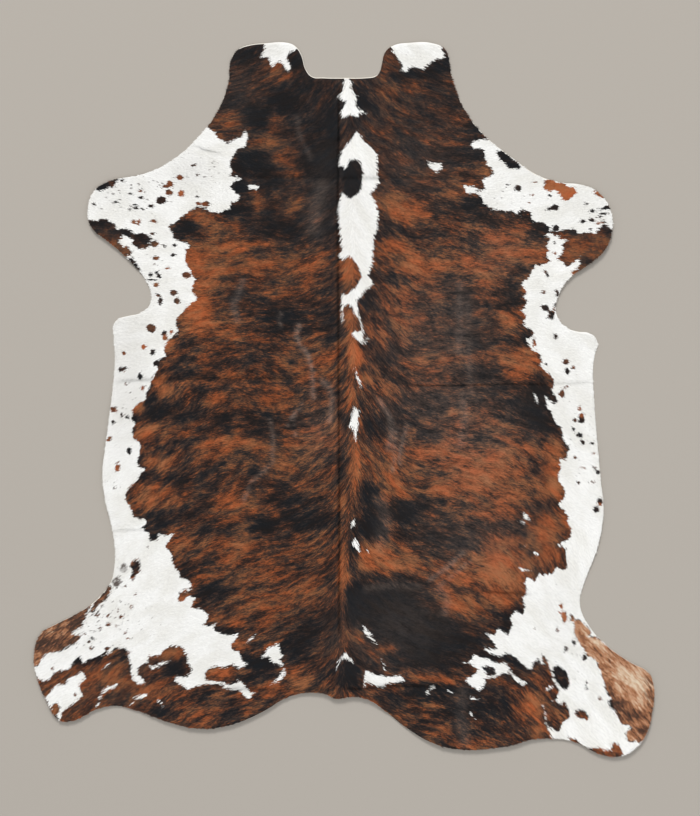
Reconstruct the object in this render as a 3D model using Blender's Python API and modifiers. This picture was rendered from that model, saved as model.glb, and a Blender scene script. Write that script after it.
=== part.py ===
"""A cowhide rug: one whole hide with its hair on, lying flat, hair side up.

+Y points towards the neck end, +X to the viewer's right and +Z up. The origin is on the floor,
under the middle of the hide. The sheet is one solid: leather with its short coat lying on it.
"""

import math

import bmesh
import bpy
import numpy as np

# Driving dimensions, in metres.
HIDE_THICKNESS = 0.0045  # leather of about 2.5 mm, and 2 mm of coat lying flat on it
GRID_STEP = 0.064  # the widest spacing of the sheet's faces
EDGE_BAND = 0.115  # how far in from the cut edge a curled edge leaves the floor
SHEET_MARGIN = 0.03  # the sheet is this much larger all round before it is cut to its outline
CUTTER_HEIGHT = 0.2
WELD_DISTANCE = 0.00001
MILLIMETRE = 0.001
CURVE_STEPS = 5  # straight lines between two neighbouring points of the cut edge

# The cut edge, clockwise from the left lobe of the neck as seen from above with the neck end
# away from the viewer. Each point is (across, along) in millimetres from the hide's middle.
CUT_EDGE = {
    "left neck lobe": (
        (-350, 1048), (-326, 1084), (-294, 1097), (-236, 1103), (-182, 1105), (-150, 1094),
        (-130, 1066), (-117, 1023),
    ),
    "neck notch": (
        (-98, 1000), (-66, 997), (3, 996), (68, 997), (98, 1002), (110, 1013), (117, 1038),
        (128, 1076),
    ),
    "right neck lobe": (
        (152, 1095), (205, 1104), (273, 1103), (313, 1084), (329, 1032),
    ),
    "right neck side": (
        (344, 967), (375, 896), (434, 820), (524, 747), (594, 698),
    ),
    "right foreleg": (
        (670, 671), (732, 665), (785, 642), (823, 592), (830, 524), (809, 462), (763, 420),
        (694, 370),
    ),
    "right elbow bay": (
        (662, 316), (656, 272), (683, 226), (722, 210), (762, 204),
    ),
    "right flank": (
        (787, 175), (777, 138), (771, 90), (773, 30), (781, -90), (792, -223), (803, -344),
        (788, -450), (747, -561),
    ),
    "right thigh": (
        (731, -623), (746, -682), (814, -763), (891, -817),
    ),
    "right hind leg": (
        (942, -846), (959, -884), (955, -965), (937, -1034), (908, -1075), (868, -1102),
        (809, -1104), (706, -1059),
    ),
    "right rump": (
        (644, -1051), (572, -1056), (526, -1071), (463, -1081), (375, -1086), (287, -1070),
        (191, -1017), (117, -958), (69, -928), (19, -922),
    ),
    "tail notch": ((-23, -928),),
    "left rump": (
        (-55, -914), (-100, -909), (-170, -922), (-248, -967), (-334, -1004), (-435, -1021),
        (-534, -1003), (-641, -965), (-704, -950), (-765, -961),
    ),
    "left hind leg": (
        (-838, -996), (-879, -995), (-919, -936), (-950, -860), (-959, -790), (-939, -728),
        (-886, -694), (-814, -658),
    ),
    "left thigh": (
        (-753, -608), (-722, -565), (-708, -484), (-718, -400),
    ),
    "left flank": (
        (-740, -304), (-747, -226), (-735, -127), (-717, 19), (-709, 130), (-713, 196),
    ),
    "left elbow bay": (
        (-713, 232), (-700, 248), (-668, 258), (-628, 268), (-599, 296), (-602, 346),
        (-648, 412),
    ),
    "left foreleg": (
        (-725, 484), (-779, 528), (-793, 580), (-770, 648), (-738, 669), (-695, 683),
        (-632, 694),
    ),
    "left neck side": (
        (-539, 735), (-434, 831), (-390, 893), (-356, 986),
    ),
}

# Folds left from when the hide was packed, in millimetres. Each is a straight valley that stays
# on the floor, between two shoulders that stand up off it. "place" is where the valley crosses
# the other axis.
FOLDS = {
    "along the spine": {"place": -14, "from": -928, "to": 998, "shoulder": 3.5, "reach": 105},
    "across the neck": {"place": 686, "from": -430, "to": 470, "shoulder": 2.5, "reach": 90},
    "across the middle": {"place": 56, "from": -735, "to": 790, "shoulder": 4.5, "reach": 110},
    "across the rump": {"place": -896, "from": -330, "to": 430, "shoulder": 3.5, "reach": 95},
}
FOLD_END = 0.22  # the share of a fold, at each end, over which its shoulders die away
FOLD_LINES = (0, 1 / 6, 1 / 3, 2 / 3, 1)  # shares of its reach where the sheet has a line of points

# Where the cut edge curls up off the floor: (across, along), how far the curl spreads and how
# high it lifts, in millimetres.
CURLS = {
    "left neck lobe": ((-240, 1100), 170, 4),
    "right neck lobe": ((250, 1100), 170, 4),
    "left foreleg": ((-720, 560), 260, 7),
    "right foreleg": ((750, 480), 300, 8),
    "left flank": ((-735, -180), 330, 6),
    "right flank": ((795, -320), 330, 5),
    "left hind leg": ((-880, -880), 270, 8),
    "right hind leg": ((880, -1000), 270, 9),
    "left rump": ((-400, -1010), 330, 9),
    "right rump": ((420, -1075), 330, 9),
    "tail notch": ((-10, -920), 200, 7),
}

COAT_COLOUR = (0.13, 0.075, 0.05, 1.0)
COAT_ROUGHNESS = 0.62


def clear_scene():
    for thing in list(bpy.data.objects):
        bpy.data.objects.remove(thing, do_unlink=True)


def new_collection(name):
    made = bpy.data.collections.new(name)
    bpy.context.scene.collection.children.link(made)
    return made


def ease(share):
    """Runs smoothly from 0 to 1 as share does."""
    held = np.clip(share, 0, 1)
    return held * held * (3 - 2 * held)


def coat_material():
    made = bpy.data.materials.new("brindle coat")
    made.use_nodes = True
    shader = made.node_tree.nodes["Principled BSDF"]
    shader.inputs["Base Color"].default_value = COAT_COLOUR
    shader.inputs["Roughness"].default_value = COAT_ROUGHNESS
    shader.inputs["Metallic"].default_value = 0.0
    return made


def cut_edge_curve(collection):
    """The cut edge as a flat, closed, smooth curve."""
    points = [point for stretch in CUT_EDGE.values() for point in stretch]
    curve = bpy.data.curves.new("cut edge", "CURVE")
    curve.dimensions = "2D"
    curve.fill_mode = "NONE"
    curve.resolution_u = CURVE_STEPS
    spline = curve.splines.new("BEZIER")
    spline.bezier_points.add(len(points) - 1)
    spline.use_cyclic_u = True
    for knot, (across, along) in zip(spline.bezier_points, points):
        knot.co = (across * MILLIMETRE, along * MILLIMETRE, 0)
        knot.handle_left_type = "AUTO"
        knot.handle_right_type = "AUTO"
    drawn = bpy.data.objects.new("cut edge", curve)
    collection.objects.link(drawn)
    return drawn


def mesh_of(drawn):
    bpy.context.view_layer.update()
    graph = bpy.context.evaluated_depsgraph_get()
    return bpy.data.meshes.new_from_object(drawn.evaluated_get(graph))


def rim_of(drawn):
    """The two ends of each straight line of the curve, and the middle of its box, in metres."""
    mesh = mesh_of(drawn)
    places = np.array([vertex.co[:2] for vertex in mesh.vertices])
    middle = (places.min(0) + places.max(0)) / 2
    ends = np.array([places[list(edge.vertices)] for edge in mesh.edges]) - middle
    bpy.data.meshes.remove(mesh)
    return ends, middle


def outline_cutter(drawn, middle, collection):
    """The cut edge as a closed solid, taller than the hide, in place of the curve."""
    drawn.data.fill_mode = "BOTH"
    drawn.data.extrude = CUTTER_HEIGHT / 2
    mesh = mesh_of(drawn)
    cutter = bpy.data.objects.new("outline_cutter", mesh)
    cutter.matrix_world = drawn.matrix_world
    collection.objects.link(cutter)
    bpy.data.objects.remove(drawn, do_unlink=True)
    welded = bmesh.new()
    welded.from_mesh(mesh)
    bmesh.ops.remove_doubles(welded, verts=welded.verts, dist=WELD_DISTANCE)
    bmesh.ops.recalc_face_normals(welded, faces=welded.faces)
    bmesh.ops.translate(welded, verts=welded.verts, vec=(-middle[0], -middle[1], 0))
    welded.to_mesh(mesh)
    welded.free()
    cutter.hide_render = True
    cutter.display_type = "WIRE"
    return cutter


def distance_inside(places, rim):
    """How far each place is inside the cut edge, in metres, and negative outside it."""
    start, run = rim[:, 0], rim[:, 1] - rim[:, 0]
    away = places[:, None] - start
    share = np.clip((away * run).sum(2) / (run * run).sum(1), 0, 1)
    distance = np.linalg.norm(away - share[..., None] * run, axis=2).min(1)
    above = start[:, 1] > places[:, 1:]
    crosses = above != (rim[:, 1, 1] > places[:, 1:])
    rise = np.where(run[:, 1] == 0, 1, run[:, 1])
    crossing = start[:, 0] + (places[:, 1:] - start[:, 1]) * run[:, 0] / rise
    inside = (crosses & (places[:, :1] < crossing)).sum(1) % 2 == 1
    return np.where(inside, distance, -distance)


def fold_height(places, name):
    """The height of a fold's two shoulders above the floor, which is 0 along its valley."""
    fold = FOLDS[name]
    across, along = (places / MILLIMETRE).T
    aside, run = (across, along) if name.startswith("along") else (along, across)
    share = (run - fold["from"]) / (fold["to"] - fold["from"])
    away = np.abs(aside - fold["place"]) / fold["reach"]
    near = np.clip(1 - away, 0, 1)
    shoulder = 6.75 * away * near * near  # its top is 1, a third of the reach from the valley
    fade = ease(share / FOLD_END) * ease((1 - share) / FOLD_END)
    return fold["shoulder"] * MILLIMETRE * shoulder * fade


def curl_height(places, inside, curl):
    """How high a curl of the cut edge lifts each place."""
    middle, spread, lift = curl
    away = np.linalg.norm(places / MILLIMETRE - middle, axis=1)
    nearness = ease(1.5 * (1 - away / spread))
    bend = np.clip(1 - inside / EDGE_BAND, 0, 1 + SHEET_MARGIN / EDGE_BAND)
    return lift * MILLIMETRE * nearness * bend * bend


def underside_height(places, rim):
    """The height of the hide's underside above the floor: 0 wherever the hide lies flat."""
    folds = sum(fold_height(places, name) for name in FOLDS)
    inside = distance_inside(places, rim)
    curls = [curl_height(places, inside, curl) for curl in CURLS.values()]
    return folds + np.max(curls, axis=0)


def graded_lines(low, high, direction):
    """Line positions from low to high: close by each fold that runs this way, else a step apart."""
    stops = {low, high}
    for fold in (fold for name, fold in FOLDS.items() if name.startswith(direction)):
        for share in FOLD_LINES:
            stops.add((fold["place"] - share * fold["reach"]) * MILLIMETRE)
            stops.add((fold["place"] + share * fold["reach"]) * MILLIMETRE)
    lines = sorted(stops)
    runs = [
        np.linspace(start, end, math.ceil((end - start) / GRID_STEP), endpoint=False)
        for start, end in zip(lines, lines[1:])
    ]
    return np.append(np.concatenate(runs), high)


def hide_sheet(rim, collection):
    """The underside as an open sheet, a little larger than the cut edge, with folds and curls."""
    low, high = rim.min((0, 1)) - SHEET_MARGIN, rim.max((0, 1)) + SHEET_MARGIN
    columns = graded_lines(low[0], high[0], "along")
    rows = graded_lines(low[1], high[1], "across")
    sheet = bmesh.new()
    bmesh.ops.create_grid(
        sheet, x_segments=len(columns) - 1, y_segments=len(rows) - 1, size=0.5
    )
    column = [round((vertex.co.x + 0.5) * (len(columns) - 1)) for vertex in sheet.verts]
    row = [round((vertex.co.y + 0.5) * (len(rows) - 1)) for vertex in sheet.verts]
    places = np.stack((columns[column], rows[row]), axis=1)
    heights = underside_height(places, rim)
    for vertex, place, height in zip(sheet.verts, places, heights):
        vertex.co = (place[0], place[1], height)
    mesh = bpy.data.meshes.new("hide")
    sheet.to_mesh(mesh)
    sheet.free()
    made = bpy.data.objects.new("hide", mesh)
    collection.objects.link(made)
    return made


def build_hide():
    parts = new_collection("cowhide rug")
    cutters = new_collection("cutters")
    drawn = cut_edge_curve(cutters)
    rim, middle = rim_of(drawn)
    cutter = outline_cutter(drawn, middle, cutters)
    hide = hide_sheet(rim, parts)
    thickness = hide.modifiers.new("thickness", "SOLIDIFY")
    thickness.thickness = HIDE_THICKNESS
    thickness.offset = 1
    outline = hide.modifiers.new("outline", "BOOLEAN")
    outline.operation = "INTERSECT"
    outline.solver = "EXACT"
    outline.object = cutter
    hide.data.materials.append(coat_material())
    hide.data.shade_smooth()


clear_scene()
build_hide()
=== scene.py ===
"""A cowhide rug, brindle and white, lying flat on a pale floor and seen from straight above.

The leather is a thin closed sheet with the hide's outline, folds and creases. Its hair is many
thousand small tufts, combed the way the hair of the animal runs: down the spine, and outwards
from it. The markings are given one by one, and their ragged edges follow the hair.
"""

import math

import bmesh
import bpy
import numpy as np
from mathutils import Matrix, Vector
from mathutils.bvhtree import BVHTree
from mathutils.geometry import delaunay_2d_cdt


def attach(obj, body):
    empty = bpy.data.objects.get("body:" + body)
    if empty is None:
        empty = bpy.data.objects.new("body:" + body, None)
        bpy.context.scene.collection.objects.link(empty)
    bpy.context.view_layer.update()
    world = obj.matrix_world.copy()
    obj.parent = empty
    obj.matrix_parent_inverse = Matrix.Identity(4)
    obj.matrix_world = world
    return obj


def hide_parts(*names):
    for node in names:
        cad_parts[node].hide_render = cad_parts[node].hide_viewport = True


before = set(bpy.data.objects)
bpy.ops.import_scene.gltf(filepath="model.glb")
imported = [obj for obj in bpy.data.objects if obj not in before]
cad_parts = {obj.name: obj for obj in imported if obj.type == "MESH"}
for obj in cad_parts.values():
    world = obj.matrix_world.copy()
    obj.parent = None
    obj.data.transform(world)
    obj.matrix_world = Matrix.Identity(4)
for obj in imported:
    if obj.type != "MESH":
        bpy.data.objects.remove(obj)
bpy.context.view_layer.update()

# Places on the hide are read off the photograph in its pixels, across and down, and a length in
# pixels is turned into metres of hide with PIXEL.
PIXEL = 0.0031
MIDDLE = np.array((344.1, 399.2))  # the pixel over the middle of the hide
PICTURE_MIDDLE = (350, 408)
PICTURE_HEIGHT = 816
CAMERA_HEIGHT = 6.0

# The sheet, in metres.
LEATHER_THICKNESS = 0.0024
CUT_SLOPE = 0.0006  # how far the cut edge slopes in from its foot
RIM_STEP = 0.007
COARSE_STEP = 0.0095
FINE_STEP = 0.0038  # along the edges of the markings
UNDERSIDE_STEP = 0.019
FINE_BAND = 0.0075
COARSE_JITTER = 0.25  # how far a place strays from its grid, as a share of the grid's step
FINE_JITTER = 0.3
CHECKS_PER_STEP = 1.5  # how closely an outline is followed to find the cells near it
SPOT_CORNERS = 8
FIELD_STEP = 0.008  # between the places where the solid's folds are measured
SOFTEN = 6  # times that the measured heights are averaged with their neighbours
DEEP_INSIDE = 0.05
WELD = 0.00001
SLIVER = 0.0001
SAME_PLACE = 1e-7
PLACES_AT_ONCE = 4000  # how many places are set against an outline in one go

# The hair, in metres.
TUFT_LENGTH = 0.017
TUFT_WIDTH = 0.0023
TUFT_ALONG = (0.0, 0.42, 1.0)  # its root, its widest place and its tip, as shares of its length
TUFT_ROOT = -0.0003
TUFT_RISE = 0.0009
TUFT_SIDE = 0.00005
TUFTS = 196000
TUFT_YAW = 9.0  # degrees to either side
SHORTEST_TUFT = 0.16
FOLLOWS_PLACE = 0.65  # how far along a tuft its colour changes with its place: 0 to 1
SPOT_EDGE = 0.25  # how ragged a spot's edge is, where a large marking's is 1
SPOT_SPREAD = 0.0009  # how far the smallest spots spread, so that hairs do not hide them
SPOT_BLEND = 0.005  # over how many metres a spot's tone gives way to what is round it
SPOT_MARGIN = 0.04
PATCH_SPREAD = 0.0005
PATCH_BLEND = 0.006
FAWN_BLEND = 0.004
TUFT_SIZES = {"long": (0.75, 1.2), "wide": (0.75, 1.3), "high": (0.7, 1.15)}
TUFT_LIFT = (0.7, 0.45)  # how far a tuft stands off the skin: the least, and what its shade adds
TRIMMED_TO = (1, 0.75, 0.5, 0.25, 0.12)  # shares of its length to which a tuft at the edge is cut
TRIM_SPARE = 0.1
OVERHANG = 0.001  # how far hair may reach past the cut edge
SEED = 11

# The hide's bands of coat, from the neck down, as shares of its length. Each is one piece.
COAT_BANDS = {
    "coat_neck": (0.0, 0.23),
    "coat_shoulders": (0.23, 0.40),
    "coat_middle": (0.40, 0.59),
    "coat_loin": (0.59, 0.79),
    "coat_rump": (0.79, 1.0),
}

# Where the hair parts along the back, in pixels down the photograph.
PARTING = ((346, 40), (350, 130), (353, 270), (354, 470), (349, 525), (343, 590), (341, 720))

# How steeply the hair runs down the hide for each step out from the parting. Each row is a place
# down the photograph, and its steepness at each of COMB_OUT pixels out, to the left and right.
COMB_OUT = (0, 12, 30, 80, 130, 200, 320)
COMB = {
    "neck edge": (50, (1.6, 1.3, 1.1, 0.8, 0.7, 0.6, 0.6), (1.6, 1.3, 1.1, 0.8, 0.7, 0.6, 0.6)),
    "neck": (100, (1.8, 1.2, 0.8, 0.35, 0.3, 0.3, 0.3), (1.8, 1.2, 0.7, 0.4, 0.35, 0.3, 0.3)),
    "withers": (
        155, (1.8, 0.9, 0.5, -0.05, -0.1, -0.15, -0.15), (1.8, 0.9, 0.7, 0.3, 0.0, -0.1, -0.1),
    ),
    "shoulders": (215, (1.8, 0.9, 0.5, 0.1, 0.0, -0.1, -0.1), (1.8, 0.9, 0.6, 0.15, 0.25, 0.1, -0.1)),
    "chest": (275, (1.8, 0.9, 0.4, 0.0, 0.1, 0.1, 0.0), (1.8, 0.9, 0.7, 0.15, 0.1, 0.2, 0.0)),
    "back": (350, (2.2, 0.9, 0.1, -0.1, 0.15, 0.35, 0.4), (2.2, 1.2, 0.9, 0.05, 0.15, 0.45, 0.6)),
    "middle": (430, (2.8, 1.2, 0.4, -0.1, 0.2, 0.45, 0.5), (2.8, 1.3, 1.0, 0.1, 0.15, 0.5, 0.7)),
    "loin": (520, (3.0, 1.2, 0.6, 0.05, 0.25, 0.45, 0.7), (3.0, 1.2, 0.8, 0.2, 0.35, 0.55, 0.8)),
    "hips": (600, (3.0, 1.0, 0.4, 0.3, 0.3, 0.6, 0.7), (3.0, 1.0, 0.6, 0.4, 0.5, 0.8, 1.2)),
    "rump": (690, (2.5, 0.9, 0.4, 0.3, 0.35, 0.6, 0.7), (2.5, 0.9, 0.5, 0.3, 0.4, 0.9, 1.2)),
}
COMB_STEP = 0.01
COMB_MARGIN = 0.05
# Slow waves in the lie of the hair: the metres from crest to crest across and along, and height.
COMB_WAVES = ((0.21, 0.37, 0.003), (-0.34, 0.19, 0.003), (0.13, -0.16, 0.001))

# The dark, brindle part of the hide, all round, in pixels.
BRINDLE = {
    "left shoulder": (
        (196, 118), (208, 127), (216, 133), (220, 139), (229, 143.5), (237, 138), (241, 138),
        (247, 130), (249, 138), (246, 147), (239, 149), (233, 158), (230.5, 166), (233, 171),
        (230, 176), (237, 177), (245, 180), (234, 182), (231, 187), (235, 191), (240.5, 195),
        (239, 201), (232, 203), (231, 208), (222, 212.6), (213, 213.4), (207, 209), (200, 207),
        (191, 211), (182, 217), (175, 224), (169, 226), (174, 234), (174, 238), (186, 243),
        (191, 246), (187, 250), (186, 262), (190, 268), (193, 276), (197, 279), (194, 285),
        (193, 292), (198, 297), (198, 300), (192, 303),
    ),
    "left flank": (
        (186, 309), (178, 318), (177, 325), (180, 332), (170, 339), (164, 350), (167, 356),
        (160, 360), (158, 370), (151, 381), (153, 384), (147, 391), (147, 400), (140, 402),
        (133, 410), (133, 419), (136, 424), (133, 431), (134, 437), (141, 443), (142, 450),
        (138, 460), (139, 466), (146, 469), (141, 473), (139, 479), (131, 486), (126, 494),
        (127, 500), (131, 507), (134, 515), (140, 519), (145, 518), (148, 524), (142, 528),
        (150, 533), (150, 540), (158, 540), (160, 532), (164, 535), (175, 533), (170, 541),
        (166, 545), (173, 555), (175, 567),
    ),
    "left thigh": (
        (181, 572), (180, 577), (188, 579), (194, 586), (188, 592), (190, 595), (196, 598),
        (192, 606), (195, 609), (200, 608), (208, 613), (209, 618), (204, 625), (211, 626),
        (217, 622), (215, 629), (219, 632), (228, 635), (240, 633), (235, 641), (231, 645),
        (234, 650), (240, 652), (243, 660), (249, 664), (240, 668), (233, 664), (226, 668),
        (216, 666), (209, 668), (206, 673), (207, 680), (213, 681), (222, 682), (222, 684),
        (213, 684), (207, 684), (196, 686), (189, 690), (183, 685), (175, 680), (176, 676),
        (188, 676), (193, 669), (188, 662), (188, 656), (182, 646), (173, 646), (163, 651),
        (161, 656), (150, 655), (149, 663), (144, 663), (138, 669), (139, 674), (147, 682),
        (141, 685), (133, 678), (132, 666), (129, 656), (126, 647), (116, 647), (109, 655),
        (106, 651), (99, 657), (89, 659), (84, 664), (81, 656), (77, 658), (71, 668), (63, 670),
        (55, 672), (49, 680), (44, 680), (37, 676), (20, 676),
    ),
    "rump": ((20, 830), (553, 830), (553, 740)),
    "right thigh": (
        (549, 732), (544, 721), (550, 727), (558, 731), (562, 721), (568, 717), (569, 712),
        (564, 701), (560, 704), (552, 700), (556, 698), (559, 690), (553, 681), (549, 668),
        (547, 661), (541, 653), (543, 664), (537, 659), (533, 662), (532, 668), (528, 669),
        (519, 661), (512, 654), (505, 653), (499, 656), (489, 653), (485, 650), (482, 645),
        (490, 649), (496, 648), (495, 645), (487, 636), (484, 632), (494, 635), (497, 628),
        (501, 631), (508, 635), (511, 623), (510, 619), (511, 615), (515, 610), (522, 614),
        (524, 608), (522, 597), (525, 594), (526, 588), (524, 583), (527, 576), (534, 581),
        (538, 573), (543, 574), (553, 572), (556, 567), (565, 569), (567, 564), (565, 554),
    ),
    "right flank": (
        (566, 548), (557, 544), (562, 541), (571, 537), (570, 528), (566, 523), (567, 519),
        (566, 513), (562, 508), (557, 504), (561, 500), (564, 495), (564, 490), (560, 484),
        (556, 478), (560, 468), (558, 457), (565, 460), (567, 454), (568, 446), (562, 438),
        (561, 428), (556, 424), (552, 420), (551, 412), (547, 408), (545, 402), (544, 395),
        (549, 401), (554, 405), (556, 401), (555, 396), (550, 389), (554, 386), (553, 380),
        (549, 374), (545, 371), (538, 364), (541, 361), (540, 356), (536.5, 351.5), (532, 350),
        (529, 346), (526, 342), (525, 338.5), (531, 337), (533, 333), (531, 329), (525, 326),
        (522, 322),
    ),
    "right shoulder": (
        (526, 316), (520, 310), (524, 308), (526, 301), (522, 297), (524, 294), (525, 289),
        (519, 283), (524, 281), (527, 278), (530, 273), (532, 269), (535, 265), (541, 265),
        (547, 263), (549, 259), (545, 255), (548, 250), (545, 247), (547, 243), (549, 238),
        (544, 236), (549, 231), (548, 227), (543, 223), (538, 222), (532, 222), (530, 217),
        (530, 213), (525, 210), (520, 210), (517, 213), (520, 217), (516, 215), (512, 211),
        (507, 211.5), (500, 210.5), (492, 209), (486, 206), (482, 203), (480, 197), (478, 193.5),
        (472, 193), (465, 193), (463, 186), (470, 186), (476, 189), (480, 191.5), (482, 191),
        (484, 187), (482.5, 184), (481, 180), (484, 178.5), (490, 176), (493, 174), (493, 171),
        (490, 168), (486, 165), (484.5, 160), (483.5, 155), (482.5, 150), (480, 148), (473, 149),
        (470, 145), (470, 143), (475, 141), (480, 139.5), (491, 140.5),
    ),
    "neck": ((505, 140), (505, 20), (196, 20)),
}

# White patches inside it.
WHITE_PATCHES = {
    "left neck lobe": (
        (262, 40), (264, 45), (266, 49), (261, 57), (269, 57), (273, 67), (277, 63), (281, 61),
        (289, 72), (292, 67), (287, 57), (290, 52), (299, 48.5), (304, 46), (296, 36), (270, 34),
    ),
    "right neck lobe": (
        (389, 46), (391, 48), (396, 57), (402, 67), (400, 70), (407, 72), (410, 67), (419, 68),
        (423, 70), (426, 65), (434, 60), (444, 57), (441, 48), (444, 42), (436, 34), (412, 34),
        (393, 38),
    ),
    "upper blaze": (
        (346, 75), (352, 82), (350, 87), (356, 95), (355, 106), (366, 113), (359, 113),
        (359, 117), (350, 115), (342, 118), (341, 112), (346, 101), (337, 97), (343, 90),
        (344, 82),
    ),
    "long blaze": (
        (357, 130), (352, 137), (345, 147), (341, 152), (339, 166), (343, 166), (346, 170),
        (350, 160), (359, 159), (363, 173), (360, 190), (350, 199), (345, 194), (342, 192),
        (339, 203), (338, 212), (340, 230), (342, 250), (339, 255), (343, 260), (349, 255),
        (356, 263), (361, 276), (356, 286), (347, 294), (342.5, 292.5), (342, 299),
        (341.5, 304), (342, 312), (342, 318), (343.2, 323.5), (344, 318), (343.6, 311),
        (344.6, 305.5), (349, 304), (351.5, 306), (353.5, 311), (357.5, 318), (360.4, 324),
        (360.8, 330), (357.5, 331.5), (355, 330.5), (351, 333), (354, 337), (358, 340.5),
        (363, 343.5), (363, 338), (362.6, 331), (362.3, 325), (360, 318), (358, 312),
        (357, 306), (356.7, 300), (366, 289), (373, 284), (368, 275),
        (372, 262), (373, 240), (377, 228), (378, 213), (375, 203), (370, 194), (374, 189),
        (379.5, 181), (377.5, 177), (377, 163), (376, 152), (372, 148), (363, 140),
    ),
    "blaze wisp": ((368, 337), (366.5, 341.5), (364.6, 344), (364.8, 340.5)),
    "blaze tail 1": ((354, 367), (359, 378), (361, 388), (356, 378)),
    "blaze tail 2": ((354, 406), (359, 410), (357, 430), (355, 441), (353, 428), (349, 425)),
    "blaze tail 3": ((355, 517), (354, 525), (351, 528), (351, 522)),
    "blaze tail 4": ((355, 536), (358, 545), (359, 552), (354, 546), (351, 542)),
    "blaze tail 5": ((365, 547), (369, 552), (366, 550)),
    "neck fleck": ((425, 160), (431, 163), (441, 163), (441, 169), (435, 172), (428, 166)),
    "shoulder fleck": ((249, 187), (252, 184.5), (260, 186), (258, 190), (250, 190)),
    "loin fleck": ((362, 624), (366, 628), (376, 644), (371, 640), (364, 633)),
    "rump tuft": (
        (346, 651), (349, 656), (353, 662), (347, 659), (341, 659), (337, 669), (339, 660),
        (342, 655),
    ),
    "rump bar": (
        (365, 669), (375, 674), (388, 676), (401, 675), (403, 680), (396, 682), (384, 684),
        (383, 688), (376, 686), (366, 681), (363, 690), (363, 682),
    ),
    "rump fleck": ((380, 657), (385, 669), (382, 667)),
    "right rump": (
        (474, 653), (480, 656), (487, 658), (495, 663), (506, 662), (509, 670), (521, 680),
        (526, 681), (524, 685), (518, 683), (508, 672), (500, 673), (496, 677), (485, 678),
        (484, 684), (478, 691), (470, 685), (463, 680), (472, 675), (478, 669), (470, 664),
        (461, 663), (470, 660),
    ),
    "right thigh fleck 1": ((541, 702), (543, 704), (543, 709), (541, 706)),
    "right thigh fleck 2": ((543, 711), (545, 713), (546, 718), (544, 716)),
    "rump dashes": ((425, 692), (430, 684), (436, 685), (430, 690), (427, 694)),
    "tail dash": ((444, 688), (452, 693), (447, 691)),
    "hip dash 1": ((468, 696), (478, 699), (470, 699)),
    "hip dash 2": ((469, 709), (475, 718), (470, 714)),
    "hip dash 3": ((545, 688), (551, 684), (552, 687), (547, 690)),
    "flank fleck 1": ((521, 512), (527, 515), (529, 520), (524, 519)),
    "flank fleck 2": ((517, 519), (523, 520), (523, 524)),
    "flank fleck 3": ((523, 544), (528, 547), (525, 547)),
    "flank fleck 4": ((532, 552), (536, 551), (537, 555), (533, 554)),
    "flank fleck 5": ((517, 566), (524, 569), (532, 570), (520, 571)),
    "flank fleck 6": ((532, 391), (536, 396), (538, 404), (534, 399)),
    "left rump": (
        (222, 681), (230, 684), (236, 683), (240, 679), (246, 685), (252, 692), (257, 692),
        (248, 699), (241, 690), (226, 688), (222, 684),
    ),
    "left loin": (
        (268, 648), (280, 643), (282, 654), (284, 655), (281, 660), (285, 665), (276, 664),
        (271, 660), (269, 656), (261, 657), (266, 653),
    ),
    "left loin hook": ((286, 668), (287, 674), (281, 680), (270, 685), (279, 677)),
    "left loin dash": ((258, 632), (253, 639), (247, 643), (251, 638)),
    "thigh sliver": (
        (149, 664), (153, 669), (161, 666), (168, 662), (172, 660), (166, 661), (158, 664),
        (152, 665),
    ),
    "hock": (
        (46, 697), (50, 692), (57, 684), (66, 684), (70, 678), (75, 676), (82, 671), (88, 678),
        (79, 684), (84, 695), (74, 703), (64, 711), (60, 720), (50, 706),
    ),
    "hock streak 1": ((112, 661), (109, 666), (103, 670), (107, 665)),
    "hock streak 2": (
        (119, 683), (118, 686), (110, 689), (104, 693), (100, 704), (94, 712), (99, 700),
        (103, 691), (110, 685),
    ),
    "hock streak 3": ((148, 693), (146, 697), (138, 698), (129, 706), (137, 696), (141, 693)),
    "hock streak 4": ((158, 699), (162, 701), (167, 713), (163, 706)),
}

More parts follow.
